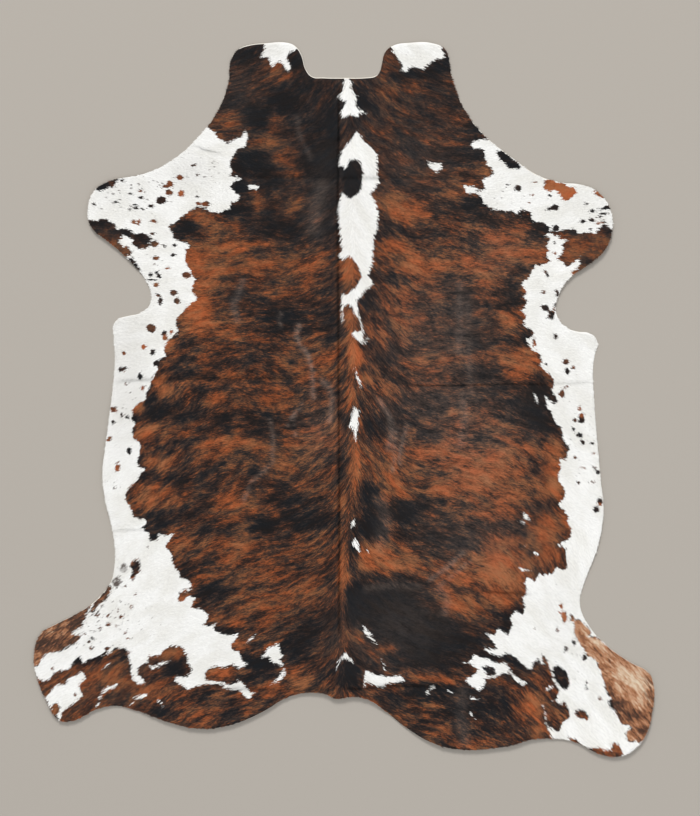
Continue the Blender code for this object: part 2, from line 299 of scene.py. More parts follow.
# Dark patches on the white, each with its tone: how rusty it is, from -1, black, to 1, rust.
DARK_PATCHES = {
    "right foreleg": (0.35, (
        (550, 231), (556, 232), (564, 230), (573, 229), (577, 234), (583, 233), (591, 233),
        (595, 233), (597, 230), (600, 227), (604, 226), (608, 229), (620, 232), (600, 270),
        (572, 280), (570, 272), (577, 268), (579, 263), (578, 257), (573, 262), (566, 267),
        (562, 262), (557, 259), (562, 252), (562, 245), (567, 240), (558, 239), (560, 236),
        (553, 235),
    )),
    "right knee": (-0.5, (
        (603, 224), (608, 228), (614, 231), (611, 234), (604, 233), (598, 230),
    )),
    "right shoulder spot": (-1.0, (
        (497, 150.5), (503, 151.5), (509, 156), (515, 162), (521, 168.5), (516, 169),
        (510, 168), (504, 164), (499, 159), (496.5, 154),
    )),
    "right shoulder rust": (1.3, (
        (545, 180), (550, 179), (556, 183), (562, 184), (568, 187), (574, 188), (576, 193),
        (573, 194), (570, 198), (563, 201), (561, 198), (559, 194), (555, 190), (552, 189),
        (550, 192), (546, 190), (543, 189),
    )),
    "right foreleg edge": (0.9, ((593, 192), (598, 192), (604, 198), (598, 197), (594, 194))),
    "right foreleg bars": (-0.7, (
        (588, 211.5), (600, 209), (607, 205), (611, 206), (613, 211), (609, 210), (604, 209.8),
    )),
    "right elbow": (0.1, ((555, 307), (553, 318), (547, 318), (550, 310))),
    "right shank spot": (0.95, ((561, 611), (565, 612), (566, 620), (563, 624), (561, 617))),
    "right hock 1": (-0.8, (
        (553, 666), (557, 665), (561, 669), (566, 672), (568.5, 680), (568, 687), (565, 689),
        (560, 686), (555, 679), (552.5, 672),
    )),
    "right hock 2": (0.1, (
        (574, 711), (578, 709), (583, 709), (586, 712), (589, 716), (587, 719), (580, 717.5),
        (577, 715),
    )),
    "right hock 3": (-1.1, ((608, 701), (612, 698), (615, 702), (614, 710), (611, 709))),
    "right hoof edge": (0.25, (
        (567, 737), (575, 739), (580, 744), (590, 748), (599, 747), (604, 749), (610, 750),
        (611, 744), (614, 742), (618, 744), (621, 751), (622, 760), (598, 760), (580, 752),
    )),
    "right rump hole": (-0.6, ((482, 667), (487, 666), (494, 668), (495, 674), (488, 676))),
    "left foreleg": (-0.7, (
        (94, 190), (98, 184), (108, 179), (118, 178), (119, 182), (116, 184), (113, 187),
        (108, 188), (104, 191), (99, 190.5),
    )),
    "left knee": (-0.1, (
        (84, 219.5), (94, 221), (98, 221.5), (101, 219.5), (108, 219.5), (111, 221), (114, 224),
        (116, 227), (118.5, 231), (120, 229), (122, 228.5), (129, 229.5), (133, 232),
        (136, 234.5), (139, 234.5), (142, 233.5), (145, 233.5), (147, 235.5), (149, 237),
        (151.5, 238.5), (152, 240.5), (150, 242), (150.5, 246), (148, 246.5), (146, 249),
        (144, 250.5), (142, 249), (139, 249.5), (137, 247), (136, 245.5), (133.5, 244.5),
        (135, 241), (133.5, 238), (130, 238), (127, 237), (123, 235), (122.5, 238),
        (119.5, 240), (120, 242), (121, 244.5), (123, 247), (126, 247), (128, 247.5),
        (130, 250), (133, 251), (131.5, 255), (129, 256.5), (125, 262), (104, 246), (86, 230),
    )),
    "left elbow": (-0.3, (
        (129, 260), (133.5, 258.5), (135, 260), (136.5, 263), (139, 265), (138, 267),
        (141, 270), (138, 272),
    )),
    "left thigh 1": (0.15, (
        (133, 560), (140, 559), (141, 571), (137, 574), (134, 580), (131, 579), (134, 570),
        (131, 565),
    )),
    "left thigh 2": (0.5, ((186, 589), (189, 595), (184, 600), (179, 600), (180, 592))),
    "hock rust": (0.7, ((53, 705), (58, 702), (61, 708), (57, 716), (53, 712))),
}

# Patches of long fawn hair on the shanks, and their dark flecks.
FAWN_PATCHES = {
    "right shank": (
        (570, 614), (573, 616), (575, 620), (579, 619.5), (583, 623), (587, 627), (590, 631),
        (589, 634.5), (586, 636), (590, 637), (595, 636), (600, 640), (606, 645), (615, 651),
        (632, 663), (645, 668), (656, 676), (662, 690), (660, 722), (650, 738), (641, 741),
        (638, 742), (633, 739), (630, 741.5), (627, 739), (625, 734), (627, 729), (631, 727.5),
        (629, 725), (626, 723), (622, 724), (619, 721), (616, 716), (614, 711), (612, 700),
        (609, 695), (606, 690), (604, 683), (602, 677), (599, 670), (597, 662), (592, 657),
        (587, 655), (584, 650), (580, 645), (577, 640), (574, 634), (573, 628), (574, 624),
        (570.5, 620),
    ),
    "left shank": (
        (28, 668), (30, 640), (47, 624), (69, 613), (92, 600), (108, 583), (112, 588),
        (110.5, 593), (108, 598), (104, 600.5), (99, 604), (93, 611.5), (91, 610), (94, 605),
        (97, 600), (91, 606), (87, 613), (84.5, 621), (82, 627), (78, 629), (73, 631.5),
        (73, 634), (80, 634.5), (81.5, 636), (78, 641), (75, 643.5), (70, 644.5), (67, 648),
        (61, 650.5), (48, 652.5), (44, 657), (41, 662), (37, 666),
    ),
}

# How pale the fawn hair is, as in BLOTCHES.
FAWN_TONES = (
    (50, 645, 30, 25, -0.6), (85, 615, 25, 14, -0.6), (107, 593, 8, 12, -1.0),
    (52, 632, 16, 7, 0.5), (40, 645, 8, 7, -0.5), (74, 638, 9, 6, -0.5), (41, 658, 6, 6, 0.5),
    (582, 627, 9, 7, 0.6), (597, 641, 10, 5, 0.9), (586, 647, 8, 8, 0.15), (597, 658, 8, 8, 0.2),
    (612, 660, 8, 6, 0.1), (628, 674, 18, 12, 1.0), (642, 688, 10, 14, 0.6),
    (610, 686, 5, 10, -0.8), (622, 692, 8, 6, 0.25), (619, 704, 9, 6, -1.1),
    (632, 714, 10, 6, -1.1), (642, 728, 9, 4, -1.0), (620, 718, 5, 6, 0.0), (634, 734, 9, 4, -0.2),
    (649, 679, 5, 4, -0.7), (652, 702, 3, 20, -0.4), (625, 657, 16, 4, -0.2),
    (640, 702, 8, 10, 0.3),
)

# Small spots on the white, in pixels: across, down, width, height.
SPOTS = {
    "black": (
        (193.5, 165.5, 2, 3), (162, 200.5, 9, 7), (198, 197, 2.6, 1.6), (143, 209, 3.5, 1.6),
        (152, 206, 5, 3), (142, 198, 4, 2.5), (132, 194, 3, 2), (117, 202.5, 3, 3),
        (136, 205, 3, 2), (137, 208, 2.5, 2.5), (131, 209.5, 3, 2), (95, 205, 3, 2),
        (123, 181, 3, 2), (165, 246.5, 3, 3), (175.5, 245.5, 4, 3), (174, 255, 4, 3.5),
        (157, 272, 3, 2.5), (151, 275, 4, 3), (160, 276, 4, 4), (153, 280, 6, 1.6),
        (161, 301, 3.5, 8), (157, 363, 5, 5), (165, 333, 5, 5), (153.5, 352, 4, 6),
        (121.5, 369, 5, 4.5), (126, 368, 3, 2.5), (141, 376, 4, 7), (122.5, 414.5, 3, 4),
        (128.5, 417, 3, 4), (114, 421.5, 3, 4), (130, 450.5, 3.5, 7), (115, 487.5, 2, 2),
        (93, 638, 3.5, 3), (517, 188, 6.5, 5), (507, 185, 2.5, 2.5), (549.5, 196, 3.5, 3),
        (554, 207.5, 6.5, 5.5), (548, 209, 3, 2.5), (555, 228, 6, 6), (591, 211, 4, 3),
        (590.5, 220, 4.5, 4), (582, 221.5, 4.5, 3), (590, 230, 2.5, 2), (574, 231, 3, 2.5),
        (599, 217, 4, 1.5), (603, 222, 4, 1.5), (585, 204, 4, 1.5), (602, 214, 5, 1.4),
        (554, 243, 2.5, 2.5), (546.5, 275, 3, 4), (556.5, 294.5, 3, 4), (544, 307.5, 7, 6),
        (554, 304, 2.5, 3), (555, 336.5, 3, 4), (545.5, 364, 2.5, 2.5), (566.5, 371, 4, 6),
        (581, 419, 5.5, 7), (573, 429, 2.5, 4), (579, 435, 5, 4.5), (582, 442, 4, 5),
        (599, 501, 5, 7), (595, 509, 5, 6), (573.5, 642, 3, 4.5), (565.5, 649, 3, 4),
        (586, 682, 2.5, 3), (586, 688, 3, 2.5), (578, 482, 2.5, 2.5), (591, 443, 4, 2),
        (597, 472, 4, 3), (584, 657, 4, 6),
    ),
    "brown": (
        (181, 178, 6, 5), (198, 175, 3, 3), (142, 191, 3.5, 1.4), (187, 275, 8, 6),
        (171, 184.2, 6, 5), (167, 186.6, 7, 2.6), (170, 192.5, 7, 5), (155, 221, 5, 3),
        (153.5, 234, 3, 2.5), (155.5, 244, 7, 6), (157, 258, 6, 3.5), (155, 264, 2.5, 2),
        (199, 203.5, 5, 3), (206.5, 204, 7, 5), (152, 328, 9, 8), (159, 295, 4, 3),
        (174.5, 293, 6, 6), (178, 301, 6, 6), (125, 353, 4, 4.5), (126, 384, 2.5, 3),
        (114.5, 409, 6, 5), (148, 547, 2, 2), (98, 614.5, 4, 2.5), (108.5, 615.5, 3, 2.5),
        (109, 624, 4, 3), (121.5, 616.5, 3, 3.5), (117, 625.5, 2.5, 2), (101, 628, 3, 2.5),
        (92, 648, 3, 3.5), (108.5, 648, 4.5, 3), (89.5, 641.5, 2.5, 2), (85.5, 633.5, 2.5, 2),
        (126, 632, 2, 3), (129, 638, 2.5, 1.8), (118, 610, 2, 3), (132, 606, 2.5, 2),
        (130, 652, 3, 1.6), (136, 594, 2, 2.5), (126, 586, 1.8, 2.5), (116.5, 587.5, 2, 1.8),
        (53, 668, 3, 3), (76, 694, 3, 3), (544, 271, 3, 3), (543, 292.5, 3.5, 3), (556, 291, 3, 3),
        (565, 361.5, 6, 5), (561, 393, 5, 8), (566, 387, 2.5, 2), (574, 420, 3.5, 4),
        (593, 453, 2.5, 2.5), (574, 457, 3, 3), (583, 467, 3, 2), (594, 467, 3, 2),
        (593, 481.5, 5, 2), (557, 630, 2, 4), (534, 628, 2, 2), (599, 698, 3, 3),
        (554, 253, 3.5, 2.5),
    ),
    "rust": (
        (182, 193.5, 5, 6), (533.7, 342.5, 2.8, 8), (134, 222, 3.5, 2.5), (140, 221, 3.5, 3),
        (168, 268, 3.5, 2.5), (157, 285, 5, 4), (560.5, 605, 3, 4), (559, 612, 2, 2),
        (144.5, 347, 5, 5), (172, 332, 4, 4), (166, 338, 5, 5), (143.5, 388, 3, 5),
        (111, 437.5, 4, 4), (109, 440, 4, 2), (118.5, 467, 4, 8), (554, 253, 3, 2),
        (572.5, 367, 3, 3), (579, 408, 3, 4), (581, 415, 4, 3), (535, 182, 3, 1.6),
        (532, 195, 2.5, 2), (528, 203, 3, 1.6), (598, 223.5, 4, 1.6), (599, 504, 3, 2),
        (139, 224, 2.5, 2),
    ),
}
SPOT_TONES = {"black": -0.6, "brown": 0.25, "rust": 0.8}

# Where the brindle is rustier or blacker than elsewhere, in pixels: across, down, half width,
# half height and tone, from -1, black, to 1, rust.
BLOTCHES = {
    "neck": (
        (300, 112, 50, 42, -0.35), (425, 105, 40, 34, -0.35), (240, 95, 18, 14, -0.6),
        (283, 78, 12, 10, 0.6), (275, 62, 12, 8, 0.5), (243, 56, 20, 10, -1.3),
        (296, 60, 7, 8, -1.2), (258, 118, 12, 14, -1.0), (232, 124, 14, 7, 0.6),
        (268, 143, 16, 7, 0.9), (277, 160, 8, 10, 0.7), (278, 121, 10, 9, 0.7),
        (283, 99, 12, 12, -0.9), (252, 96, 14, 6, 0.5), (293, 168, 10, 16, 0.5),
        (312, 165, 14, 15, -0.7), (259, 202, 7, 9, 0.9), (299, 202, 8, 6, 0.6),
        (245, 162, 16, 12, -0.9), (256, 182, 7, 9, 0.4), (236, 230, 6, 12, 0.5),
        (300, 90, 25, 12, -0.4), (245, 88, 10, 5, 0.3), (315, 150, 10, 40, -0.25),
        (333, 140, 5, 60, -0.9), (362, 100, 9, 14, -0.8), (385, 95, 18, 12, 0.4),
        (412, 92, 12, 10, 0.55), (386, 60, 6, 10, 0.1), (405, 75, 20, 4, -0.8),
        (436, 72, 12, 10, -0.8), (447, 60, 6, 10, -0.6), (450, 125, 14, 7, 0.4),
        (430, 140, 28, 7, 0.3), (478, 130, 12, 16, -0.9), (440, 155, 25, 8, -0.6),
        (352, 178, 12, 22, -1.3), (400, 120, 25, 12, 0.1), (352, 125, 8, 6, -0.4),
    ),
    "left shoulder": (
        (240, 186, 12, 12, -1.1), (230, 210, 14, 8, -0.9), (265, 185, 14, 30, -0.8),
        (325, 185, 13, 45, -0.8), (290, 232, 55, 11, -0.8), (240, 211, 18, 7, -0.8),
        (184, 228, 10, 13, -1.0), (196, 214, 15, 6, 0.6), (215, 226, 22, 7, 0.25),
        (213, 262, 30, 22, 0.55), (198, 290, 12, 24, 0.75), (196, 314, 18, 14, 0.6),
        (240, 246, 40, 7, 0.45), (262, 266, 40, 11, 0.5), (240, 291, 13, 12, -0.5),
        (256, 305, 22, 7, -0.5), (293, 262, 20, 8, 0.3), (300, 285, 25, 8, 0.35),
        (292, 311, 32, 8, -0.6), (333, 318, 9, 16, -0.9), (322, 258, 14, 8, 0.35),
        (278, 250, 26, 6, -0.2), (93, 224, 9, 4, -0.6), (106, 222, 8, 3, -0.5),
        (112, 234, 6, 5, -0.3), (94, 231, 8, 5, 0.4), (110, 244, 8, 5, 0.9), (122, 253, 8, 8, 0.5),
        (125, 231, 7, 3, -0.6), (142, 238, 8, 5, -0.4), (143, 247, 8, 4, 0.8),
    ),
    "right shoulder": (
        (455, 189, 18, 7, 0.6), (474, 158, 10, 14, -0.6), (480, 174, 10, 8, 0.1),
        (470, 205, 13, 13, -1.0), (490, 220, 12, 7, -0.6), (521, 216, 14, 7, -1.0),
        (541, 227, 10, 8, -0.9), (573, 231, 12, 4, -0.9), (604, 231, 12, 4, -0.4),
        (572, 256, 8, 8, 0.4), (595, 246, 12, 6, 0.3), (583, 262, 16, 4, -0.6),
        (613, 240, 5, 10, -0.6), (390, 202, 22, 9, 0.9), (402, 216, 24, 6, 0.5),
        (422, 193, 26, 8, -0.4), (384, 232, 9, 12, -0.8), (412, 234, 22, 9, -0.4),
        (388, 246, 12, 8, 0.8), (405, 262, 22, 7, 0.9), (443, 267, 32, 6, 0.7),
        (482, 255, 34, 8, 0.45), (522, 252, 26, 12, 0.5), (531, 240, 8, 8, -0.5),
        (392, 277, 14, 6, -0.6), (400, 291, 16, 6, 0.4), (370, 300, 11, 13, -1.1),
        (462, 302, 16, 24, -0.3), (487, 278, 12, 6, 0.7), (511, 295, 9, 12, -0.9),
        (525, 288, 5, 9, 0.7), (506, 315, 13, 10, 0.6), (440, 312, 20, 9, 0.1),
        (400, 311, 10, 7, 0.35), (350, 270, 9, 17, 1.2), (350, 317, 6, 10, 0.9),
        (559, 190, 16, 8, 0.6),
    ),
    "left side": (
        (205, 324, 24, 8, 0.6), (233, 335, 24, 7, 0.5), (170, 347, 8, 10, 0.95),
        (190, 350, 14, 8, -0.3), (172, 366, 14, 9, -0.35), (258, 330, 26, 13, -0.5),
        (285, 322, 15, 14, -0.8), (232, 361, 28, 7, -0.35), (318, 345, 14, 11, 0.2),
        (161, 380, 10, 6, 0.45), (166, 393, 12, 6, 0.7), (151, 398, 5, 9, -0.5),
        (160, 410, 14, 10, -1.1), (186, 372, 12, 12, -0.3), (139, 408, 6, 6, 1.0),
        (135, 419, 4, 4, -0.9), (265, 397, 34, 6, 0.6), (281, 408, 20, 5, 0.4),
        (203, 411, 24, 9, -0.3), (245, 415, 50, 6, -0.4), (275, 425, 40, 7, -0.4),
        (146, 431, 12, 13, 0.8), (160, 449, 10, 5, -0.6), (159, 462, 15, 9, 0.75),
        (240, 444, 34, 7, 0.75), (285, 465, 20, 8, 0.8), (322, 440, 22, 7, 0.6),
        (334, 427, 10, 6, 0.6), (200, 430, 20, 10, -0.1), (150, 475, 12, 5, -1.0),
        (184, 482, 20, 8, -0.7), (150, 487, 20, 5, 0.6), (144, 501, 16, 9, 0.9),
        (176, 505, 12, 8, 0.5), (191, 512, 14, 8, -0.6), (160, 523, 14, 8, -1.0),
        (155, 536, 7, 5, -0.6), (330, 385, 10, 12, -0.4), (230, 462, 24, 7, 0.25),
    ),
    "right side": (
        (402, 326, 20, 7, 0.35), (385, 335, 8, 8, 0.4), (353, 352, 7, 18, 1.6),
        (521, 343, 12, 5, -0.8), (532, 359, 7, 5, 0.9), (391, 350, 14, 10, -0.6),
        (430, 361, 28, 5, 0.7), (455, 332, 26, 22, -0.35), (472, 342, 10, 18, -0.4),
        (482, 355, 36, 4, 0.45), (511, 321, 11, 7, 0.6), (521, 350, 12, 6, 0.7),
        (520, 367, 14, 12, 1.0), (490, 373, 18, 9, -0.5), (452, 371, 24, 7, -0.45),
        (367, 378, 8, 5, 0.8), (403, 388, 38, 5, 0.45), (430, 404, 30, 10, -0.6),
        (390, 420, 14, 14, -0.9), (500, 400, 46, 14, -0.6), (533, 400, 20, 18, -1.0),
        (536, 425, 20, 12, -1.1), (452, 413, 15, 5, 0.6), (456, 428, 8, 4, 0.7),
        (510, 426, 26, 4, 0.3), (431, 433, 20, 8, -0.7), (374, 430, 11, 13, -0.8),
        (430, 451, 28, 7, 0.7), (482, 466, 46, 20, 0.85), (522, 449, 26, 9, 0.4),
        (556, 470, 9, 26, 0.8), (531, 461, 9, 11, -0.4), (440, 490, 28, 7, 0.6),
        (502, 490, 36, 12, 0.55), (551, 490, 12, 9, 1.1), (541, 505, 18, 6, -0.6),
        (386, 460, 20, 9, 0.5), (400, 483, 22, 5, 0.45), (371, 486, 9, 8, -0.8),
        (402, 505, 28, 9, -0.7), (356, 465, 5, 28, 1.1), (351, 395, 6, 9, 1.1),
        (344, 505, 4, 12, 0.9), (563, 446, 5, 8, -0.5), (342, 462, 4, 18, -1.1),
        (345, 360, 2, 14, -0.4), (345, 420, 3, 10, -0.9), (385, 362, 18, 12, -0.4),
        (390, 492, 18, 9, 0.8), (368, 502, 10, 12, -0.9), (366, 528, 12, 12, -1.0),
        (376, 549, 10, 10, 0.7), (395, 515, 16, 10, -0.7), (386, 474, 22, 7, 0.5),
        (372, 448, 12, 9, 0.0),
    ),
    "left loin": (
        (285, 486, 14, 6, -0.6), (275, 501, 20, 6, -0.7), (230, 502, 20, 12, 0.4),
        (300, 520, 32, 11, -0.9), (264, 526, 14, 7, -0.9), (312, 503, 18, 6, -0.5),
        (312, 490, 16, 3, 0.5), (176, 546, 10, 13, 0.6), (210, 546, 24, 11, 0.2),
        (241, 545, 15, 5, 0.7), (230, 560, 14, 5, 0.4), (186, 569, 8, 10, -1.0),
        (211, 592, 13, 12, -0.8), (250, 574, 20, 7, 0.6), (240, 590, 18, 6, 0.35),
        (261, 605, 20, 7, 0.7), (235, 622, 14, 4, 0.9), (225, 629, 11, 5, -1.0),
        (286, 600, 28, 8, 0.2), (321, 590, 18, 8, 0.4), (305, 570, 26, 7, -0.3),
        (300, 632, 26, 12, -0.5), (215, 613, 8, 6, 0.3), (245, 645, 10, 5, 0.35),
        (343, 580, 4.5, 28, 1.2), (345, 634, 5, 15, 0.5), (352, 595, 5, 22, -0.8),
        (354, 545, 5, 12, -0.8), (350, 578, 3, 7, 1.0), (320, 628, 16, 14, -0.4),
        (385, 566, 26, 7, 0.7), (352, 565, 5, 8, -0.7), (300, 585, 30, 26, 0.15),
    ),
    "right loin": (
        (430, 530, 34, 22, -0.8), (370, 528, 12, 12, -0.9), (482, 510, 28, 7, 0.4),
        (502, 541, 28, 8, 0.5), (546, 528, 22, 16, 1.0), (520, 521, 7, 7, -0.6),
        (535, 556, 28, 9, 0.9), (523, 534, 5, 5, -0.8), (531, 553, 5, 4, -0.8),
        (518, 560, 4, 5, -0.8), (481, 560, 28, 9, 0.8), (460, 546, 14, 7, -0.4),
        (395, 550, 24, 5, 0.6), (402, 566, 28, 5, 0.6), (370, 557, 16, 9, 0.6),
        (472, 577, 38, 8, 0.8), (502, 572, 22, 13, 1.1), (450, 561, 14, 5, -0.3),
        (442, 585, 12, 8, 0.5), (474, 601, 38, 10, 0.8), (510, 600, 16, 10, 0.5),
        (490, 616, 18, 5, -0.2), (450, 606, 14, 10, 0.7), (516, 605, 7, 9, -0.9),
        (505, 625, 6, 12, -1.0), (390, 577, 28, 4, -0.4), (385, 591, 50, 7, -0.7),
    ),
    "rump": (
        (475, 716, 60, 22, -0.75), (372, 604, 28, 18, -1.4), (405, 622, 40, 30, -1.4),
        (432, 650, 36, 20, -1.2), (478, 640, 16, 10, -0.6), (357, 633, 7, 7, 0.9),
        (349, 673, 13, 13, -1.2), (388, 648, 16, 6, 1.4), (441, 652, 8, 5, 0.9),
        (411, 677, 12, 5, 0.5), (446, 680, 14, 4, 0.9), (430, 676, 18, 3, 0.5),
        (456, 670, 6, 7, 0.4), (426, 706, 14, 6, 0.7), (440, 730, 16, 5, 0.6),
        (400, 716, 8, 9, 0.35), (482, 745, 14, 5, 0.7), (500, 705, 13, 9, -0.4),
        (440, 691, 55, 7, -0.8), (530, 705, 14, 12, 1.6), (536, 725, 13, 9, 0.8),
        (496, 655, 18, 5, -1.0), (521, 662, 11, 8, -0.9), (561, 711, 11, 13, 0.3),
        (250, 661, 14, 7, -1.0), (266, 666, 15, 9, -1.0), (226, 671, 14, 6, 1.0),
        (245, 678, 13, 4, -0.9), (280, 675, 18, 4, 0.3), (301, 651, 13, 18, -0.6),
        (305, 685, 34, 7, 0.55), (270, 689, 14, 5, 0.6), (201, 696, 14, 8, -0.7),
        (216, 706, 12, 7, 0.6), (191, 712, 11, 7, 0.5), (231, 713, 12, 7, -0.9),
        (151, 691, 18, 9, 0.6), (112, 671, 15, 13, 0.5), (160, 712, 10, 5, -0.8),
        (178, 669, 12, 7, -1.7), (170, 653, 16, 6, 1.0), (90, 690, 34, 22, 0.45),
        (130, 680, 22, 12, 0.3), (345, 685, 10, 6, -0.6), (320, 660, 12, 20, -0.2),
        (80, 660, 6, 7, -1.1), (97, 658, 8, 4, -0.9), (125, 652, 4, 7, -0.8),
    ),
}

# Painted sheen: dull grey reflections painted into the hair's colour. Each has a route in pixels,
# its half width there and its strength.
SHEEN_MARKS = {
    "neck left": (((298, 116), (299, 130), (302, 140), (312, 158)), 1.6, 0.22),
    "shoulder left": (((322, 185), (318, 205), (314, 230)), 8, 0.16),
    "rib left": (((244, 280), (240, 292), (234, 304), (238, 320)), 3, 0.32),
    "rib left, inner": (((281, 312), (281, 326)), 1.2, 0.5),
    "long rib left": (
        ((300, 325), (297, 333), (300, 344), (309, 355), (313, 370), (314, 398)), 1.7, 0.6,
    ),
    "hook left 1": (((302, 404), (293, 416), (287, 426)), 0.8, 0.55),
    "hook left 2": (((300, 405), (295, 416), (294, 426), (297, 437)), 0.7, 0.55),
    "loin left": (
        ((271, 420), (274, 440), (273, 462), (262, 474), (252, 482), (244, 500)), 1.4, 0.45,
    ),
    "spine left": (((322, 380), (331, 388), (333, 400), (330, 420)), 2.8, 0.36),
    "rib right 1": (((459, 285), (460, 315), (459, 352)), 4, 0.2),
    "rib right 2": (((467, 300), (468, 350), (470, 392)), 3, 0.17),
    "rib right 3": (((462, 395), (464, 420), (460, 445)), 4, 0.2),
    "crescent 1": (((379, 400), (389, 416), (392, 432), (388, 448)), 2.8, 0.42),
    "crescent 2": (((407, 424), (402, 440), (398, 462)), 1.6, 0.55),
    "crescent 3": (((396, 428), (394, 450), (392, 470)), 1.2, 0.5),
    "loin right": (((380, 500), (384, 520), (380, 545)), 7, 0.15),
    "hip right": (((462, 552), (446, 568), (428, 580)), 1.8, 0.5),
    "hip right 2": (((470, 560), (452, 575), (440, 584)), 1.2, 0.45),
    "rump bar": (((366, 588), (390, 585), (418, 586)), 3.2, 0.2),
    "rump right": (((438, 588), (447, 600), (444, 612)), 4, 0.25),
    "thigh right": (((462, 690), (460, 715), (463, 740)), 6, 0.17),
}

# Broad grey veils where the coat mirrors the light, as in BLOTCHES.
VEILS = (
    (440, 330, 60, 60, 0.14), (470, 440, 60, 50, 0.16), (420, 170, 50, 50, 0.06),
    (400, 625, 50, 40, 0.10), (500, 250, 40, 30, 0.10), (480, 540, 60, 40, 0.12),
    (240, 90, 20, 30, 0.05), (325, 200, 16, 50, 0.06), (430, 400, 40, 20, 0.08),
    (322, 430, 22, 30, 0.12),
)

# Narrow creases pressed into the leather: a route in pixels, half width and depth in metres, and
# how dark the shade painted into it is, from 0 to 1.
CREASES = {
    "middle left": (((113, 381), (165, 379), (240, 379), (300, 379)), 0.004, 0.0011, 0.45),
    "middle right": (((400, 385), (450, 386), (500, 384.5), (553, 384)), 0.0032, 0.0014, 0.9),
    "middle right, on the white": (((540, 384), (570, 383), (597, 382)), 0.004, 0.0011, 0.25),
    "neck": (((240, 178), (342, 178), (363, 178), (470, 178)), 0.005, 0.0009, 0.35),
    "neck, under the blaze": (((341, 178), (364, 178)), 0.008, 0.0015, 0.8),
    "rump left": (((222, 688), (300, 690), (345, 688)), 0.005, 0.0009, 0.4),
    "rump right": (((338, 688), (362, 688), (390, 686), (450, 686)), 0.005, 0.0015, 0.8),
    "left flank": (((106, 532), (122, 530), (150, 530)), 0.003, 0.0009, 0.3),
    "left belly": (((140, 320), (147, 329)), 0.004, 0.0012, 0.6),
    "left neck": (((190, 143), (205, 150), (226, 155)), 0.0026, 0.0008, 0.6),
    "right flank": (((476, 591), (505, 592.5), (535, 594)), 0.003, 0.0012, 0.9),
    "spine": (
        ((339.5, 80), (338, 200), (338.5, 300), (339, 400), (339.5, 520), (339, 640)),
        0.0034, 0.0015, 1.0,
    ),
    "loin right": (((436, 473), (455, 462), (470, 452)), 0.005, 0.0010, 0.5),
}
# How much the shade painted in the creases darkens the hair.
CREASE_SHADE = 0.85
CREASE_END = 0.05  # the metres at each end over which a crease dies away

# Where the white is peppered with fine grey flecks, in pixels: across, down, half width, half
# height and strength.
FLECKED = (
    (150, 190, 45, 22, 1.0), (110, 205, 25, 14, 1.0), (205, 165, 28, 20, 1.0),
    (155, 270, 16, 35, 0.8), (130, 400, 18, 70, 0.6), (115, 470, 10, 30, 0.5),
    (124.5, 567.5, 4.8, 6.2, 3.8), (117, 581.5, 5.6, 5.4, 3.8), (110, 620, 40, 34, 0.8),
    (150, 620, 30, 25, 0.3), (60, 635, 34, 24, 1.0), (98, 603, 16, 14, 1.0),
    (650, 690, 12, 30, 0.8), (622, 652, 24, 8, 0.7), (500, 192, 28, 18, 0.9),
    (560, 205, 40, 20, 0.4), (545, 265, 14, 30, 0.5), (560, 350, 22, 45, 0.3),
    (580, 440, 20, 60, 0.7), (560, 590, 25, 35, 0.4), (570, 660, 22, 30, 0.7),
    (415, 52, 22, 8, 0.7), (275, 50, 12, 6, 0.4),
)
MOST_FLECKS = 3

# Where the coat is sleek and its brindle hardly streaked, as in FLECKED.
SLEEK = (
    (285, 95, 70, 70, 0.9), (300, 185, 60, 50, 0.7), (410, 105, 55, 55, 0.8),
    (415, 170, 50, 30, 0.5), (385, 625, 60, 36, 1.0), (430, 645, 50, 28, 0.7),
    (460, 330, 50, 50, 0.4), (350, 240, 30, 80, 0.3), (250, 270, 70, 45, 0.3),
    (240, 480, 60, 90, 0.12), (530, 545, 34, 34, 0.7), (552, 490, 14, 30, 0.6),
    (90, 690, 50, 26, 0.9), (130, 680, 25, 16, 0.8), (165, 655, 26, 16, 0.9),
    (115, 238, 34, 20, 1.0), (595, 250, 32, 26, 1.0), (560, 191, 20, 13, 1.2),
)

# Where shade is painted on the white hair, greying it more than elsewhere, as in FLECKED.
PAINTED_SHADE_ON_WHITE = (
    (126, 372, 24, 75, 0.45), (190, 172, 24, 16, 0.45), (357, 225, 16, 60, 0.2),
    (560, 612, 20, 35, 0.15),
)

# Where the cut edge of the leather shows as a pale line, in pixels.
BARE_EDGES = (
    ((240, 45), (262, 42)),
    ((298, 46), (301, 58), (305, 70), (312, 77), (345, 78), (376, 78)),
    ((453, 72), (470, 112), (481, 129), (510, 160), (545, 180)),
    ((95, 603), (104, 592), (114, 575)),
)
BARE_SLOPE = 0.0021
BARE_REACH = 0.012

# The hair's colours, of red, green and blue up to 255. Those of a ramp have their place on it.
DARK_HAIR = (
    (0.04, (24, 24, 27)), (0.26, (44, 36, 35)), (0.44, (76, 53, 43)), (0.62, (120, 73, 48)),
    (0.82, (152, 90, 57)), (1.0, (170, 101, 65)),
)
FAWN_HAIR = (
    (0.10, (52, 42, 38)), (0.32, (104, 70, 52)), (0.50, (166, 110, 76)), (0.70, (192, 150, 118)),
    (0.92, (216, 198, 174)),
)
COLOURS = {
    # the grey of the painted sheen
    "sheen": (152, 134, 124),
    "dark streak in the fawn": (62, 48, 42),
    "white hair": (239, 239, 237),
    "dull white hair": (227, 226, 221),
    "grey hair": (206, 204, 200),
    "fleck": (66, 53, 48),
    "pepper": (80, 68, 62),
    "leather": (222, 217, 207),
    "pale leather": (241, 238, 230),
    "leather nap": (178, 163, 140),
    "floor": (165, 159, 151),
}
# Two tints, cooler and warmer, that the dark hair is multiplied by, as shares of its own colour.
TINTS = ((0.38, (0.82, 0.96, 1.0, 1)), (0.62, (1.0, 0.80, 0.66, 1)))

